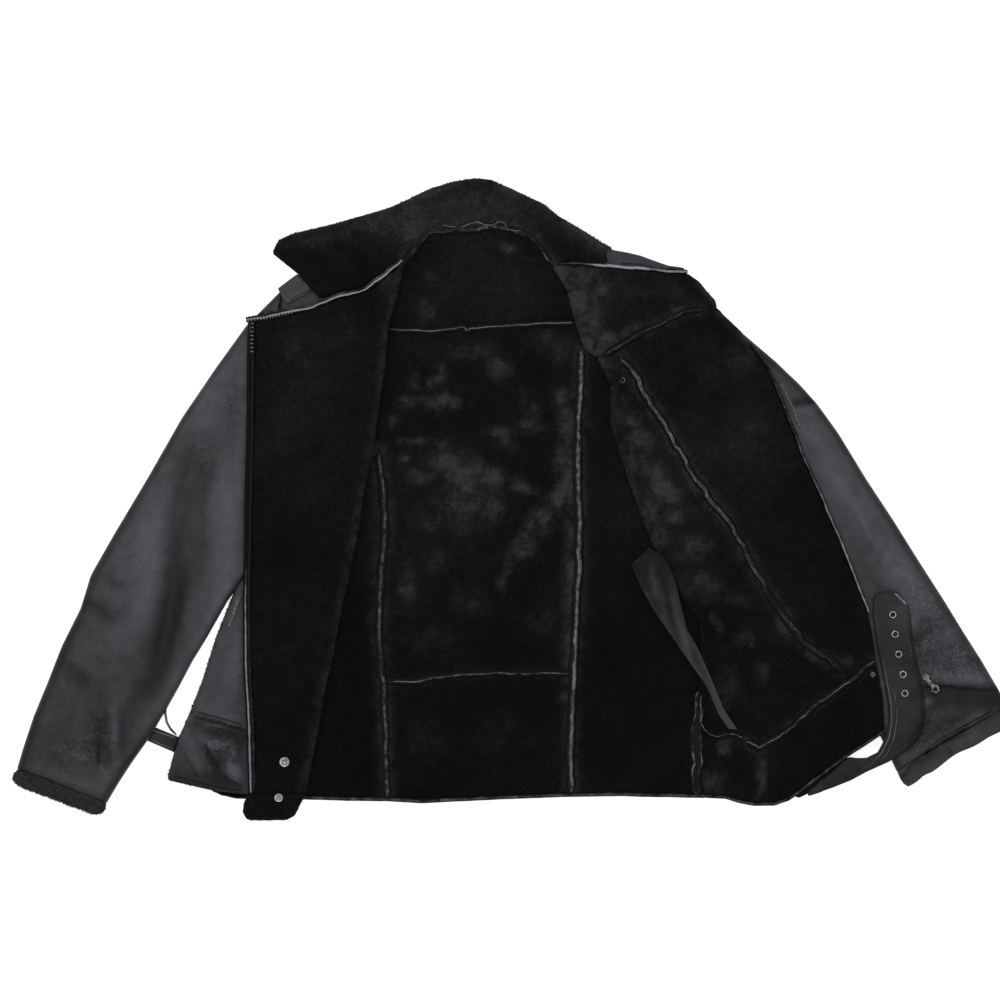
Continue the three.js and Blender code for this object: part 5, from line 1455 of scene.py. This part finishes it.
# %% Repeating along a line
def beads_recipe(name, block):
    tree, bench, given = new_recipe(name, {"Pitch": 3.5 * MM, "Length": 2.2 * MM, "Width": 0.7 * MM,
                                           "Height": 0.5 * MM})
    curve = bench.add("GeometryNodeMeshToCurve", {}, {"Mesh": given["Geometry"]})
    row = bench.add("GeometryNodeCurveToPoints", {"mode": "LENGTH"},
                    {"Curve": curve, "Length": given["Pitch"]})
    tangent = Wire(bench, row.socket.node.outputs["Tangent"])
    turn = bench.add("FunctionNodeAlignRotationToVector", {"axis": "X"}, {"Vector": tangent})
    size = bench.add("ShaderNodeCombineXYZ", {},
                     {"X": given["Length"], "Y": given["Width"], "Z": given["Height"]})
    if block:
        form = bench.add("GeometryNodeMeshCube", {}, {"Size": (1.0, 1.0, 1.0)})
    else:
        form = bench.add("GeometryNodeMeshUVSphere", {}, {"Segments": 6, "Rings": 4, "Radius": 0.5})
    placed = bench.add("GeometryNodeInstanceOnPoints", {}, {
        "Points": row, "Instance": form, "Rotation": turn, "Scale": size})
    return close_recipe(tree, bench, placed, given["Finish"])


stitch_beads = beads_recipe("stitches", block=False)
tooth_blocks = beads_recipe("zip_teeth", block=True)


def line_piece(name, lines):
    """Bare edges along lines of places in metres, for a recipe to follow."""
    points, edges = [], []
    for line in lines:
        start = len(points)
        points += [tuple(place) for place in line]
        edges += [(start + k, start + k + 1) for k in range(len(line) - 1)]
    mesh = bpy.data.meshes.new(name)
    mesh.from_pydata(points, edges, [])
    return bpy.data.objects.new(name, mesh)


def on_top(line, side, above):
    """A line of chart squares moved to one side and laid on whatever is highest there."""
    places, across, _ = walk(line, 4 * MM)
    laid = []
    for place in places + across * side * MM:
        hit = shown.ray_cast(Vector((*place, RAY_TOP)), Vector((0, 0, -1)))[0]
        if hit and hit.z > 2 * MM:
            laid.append((*place, hit.z + above * MM))
    return laid


print("stitches:", stitch_beads.name, "teeth:", tooth_blocks.name)

# %% [markdown]
# The stitches run beside the edges of the binding, the belt, the cuff, the hem band and the
# collar tab. Each row has its sizes in millimetres and its lines, each with how far to the
# side of the line it runs. The ones at the flap's corner go over the binding, in a paler copy of
# the black thread as a painted highlight where the binding is lit.

# %% Stitches
belt_left_edge = [(873, 600), (872.6, 615), (876.5, 643), (882.5, 674), (887, 698), (889, 718), (886, 735),
                  (878.5, 750)]
belt_right_edge = [(897, 594), (907, 606.5), (909, 631), (914.5, 658), (919, 680), (922.6, 700),
                   (922.4, 718), (917.5, 735), (906.8, 748), (888, 759.5), (866, 769.5), (850, 778.5)]
stitch_rows = table("name above pitch length width height look lines", [
    # Painted highlight: the stitches at the lit corner use the paler thread.
    ("edge_stitches", 0.5, 4.4, 1.3, 4.6, 0.9, highlit_thread, [([(252.6, 324), (252.4, 352)], 0)]),
    ("corner_stitches", 0.4, 3.6, 1.2, 5.6, 0.9, highlit_thread, [([(249, 320.3), (268, 317.8),
     (292, 312.5)], 0)]),
    ("edge_stitches_low", 0.15, 3.4, 2.3, 0.7, 0.5, thread, [([(253.2, 356), (252.2, 435), (249.8, 557),
     (248.8, 604), (249.8, 670), (252.6, 725), (254, 790)], 0)]),
    ("belt_stitches", 0.1, 3.2, 2.2, 0.6, 0.4, thread, [(belt_left_edge, -2.6), (belt_right_edge, 2.6)]),
    ("cuff_stitches", 0.15, 3.4, 2.3, 0.6, 0.4, thread, [([(899, 774), (938, 741.5), (991, 712)], 0)]),
    ("hem_band_stitches", 0.15, 3.4, 2.3, 0.6, 0.4, thread, [([(193, 718.5), (220, 726),
     (244, 733.5)], 0)]),
    ("collar_tab_stitches", 0.1, 3.0, 2.0, 0.6, 0.4, thread, [([(283, 291), (289, 300), (310, 290)], 0)])])
for row in stitch_rows:
    lines = [on_top(line, side, row["above"]) for line, side in row["lines"]]
    sizes = {size.capitalize(): row[size] * MM for size in ("pitch", "length", "width", "height")}
    piece = grown(row["name"], line_piece(row["name"] + "_line", lines), stitch_beads, sizes, row["look"],
                  "binding")
    print(piece.name, len(piece.data.polygons))

# %% [markdown]
# A zip's teeth are small nickel blocks in one row or two, on the tape that they are set in.

# %% Zip teeth
TOOTH = {"Pitch": 2.3 * MM, "Length": 1.1 * MM, "Width": 1.9 * MM, "Height": 1.0 * MM}
zip_rows = table("name node line sides", [
    ("pocket_zip_teeth", "pocket_zip_left", [(240, 596), (230, 625)], (-1.0, 1.0)),
    ("front_zip_teeth", "front_zip_right", [(779.5, 383), (790, 406), (798, 427)], (-1.6,)),
    ("sleeve_zip_teeth", "sleeve_zip_right", [(922.6, 674.7), (930, 684)], (-0.9, 0.9))])
for row in zip_rows:
    places, across, _ = walk(row["line"], 1.0 * MM)
    height = float(tops_under(tree_of([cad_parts[row["node"]]]), places).mean()) + 0.2 * MM
    lines = [[(*place, height) for place in places + across * side * MM] for side in row["sides"]]
    piece = grown(row["name"], line_piece(row["name"] + "_line", lines), tooth_blocks, TOOTH, nickel,
                  "nickel")
    print(piece.name, len(piece.data.polygons))

# %% [markdown]
# ## Metal
# Eyelets, snaps and the small ring are turned on a lathe on the real jacket, and here a
# profile of radius and height is spun about an upright axis.

# %% Turned metal
SEGMENTS = 40


def turned(node, profile, material, share):
    """A profile spun about the middle of the solid that it stands for."""
    low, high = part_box(node)
    centre = (low + high) / 2
    foot = high.z - max(height for _, height in profile) * MM * share
    count = len(profile)
    points, faces = [], []
    for k in range(SEGMENTS):
        turn = 2 * math.pi * k / SEGMENTS
        for radius, height in profile:
            points.append((centre.x + radius * share * MM * math.cos(turn),
                           centre.y + radius * share * MM * math.sin(turn), foot + height * share * MM))
    for k in range(SEGMENTS):
        after = (k + 1) % SEGMENTS
        faces += [(k * count + j, after * count + j, after * count + j + 1, k * count + j + 1)
                  for j in range(count - 1)]
    piece = new_piece(node + "_metal", points, faces, merge=0.005 * MM)
    return settle(piece, material, "nickel", node)


eyelet_profile = [(2.9, -2.6), (2.9, 0.1), (3.1, 0.5), (3.6, 0.75), (4.1, 0.7), (4.6, 0.4), (4.9, 0.1), (4.8, 0.0),
                  (3.2, 0.0), (3.2, -2.6), (2.9, -2.6)]
snap_profile = [(0.0, 1.5), (1.0, 1.6), (1.7, 2.0), (2.1, 2.4), (2.8, 2.4), (3.2, 1.9), (3.4, 1.2), (4.0, 0.9),
                (4.8, 1.0), (5.4, 1.3), (5.9, 1.1), (6.0, 0.5), (5.8, 0.0), (0.0, 0.0)]
ring_profile = [(2.0, 0.0), (2.0, 0.8), (2.4, 1.25), (3.0, 1.4), (3.7, 1.2), (4.1, 0.7), (4.2, 0.2), (4.0, 0.0),
                (2.0, 0.0)]
turned_parts = [(f"eyelet_{k}", eyelet_profile, nickel, 0.92) for k in range(1, 6)] + [
    ("snap_upper", snap_profile, nickel, 1.0), ("snap_lower", snap_profile, nickel, 0.85),
    ("snap_right", snap_profile, old_nickel, 0.55), ("ring_right", ring_profile, old_nickel, 0.85)]
for part in turned_parts:
    turned(*part)
print("turned pieces:", len(turned_parts))

# %% [markdown]
# The zip tapes keep their solids with the thread finish, and the slider and its pull tab
# keep theirs in metal, because their shapes are already right.

# %% Zip tapes, slider and pull
kept_solids = {"pocket_zip_left": thread, "front_zip_right": thread, "sleeve_zip_right": thread,
               "zip_slider": old_nickel, "pull_tab": old_nickel}
for node, look in kept_solids.items():
    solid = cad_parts[node]
    solid.data.materials.clear()
    solid.data.materials.append(look)
print("kept solids:", len(kept_solids))
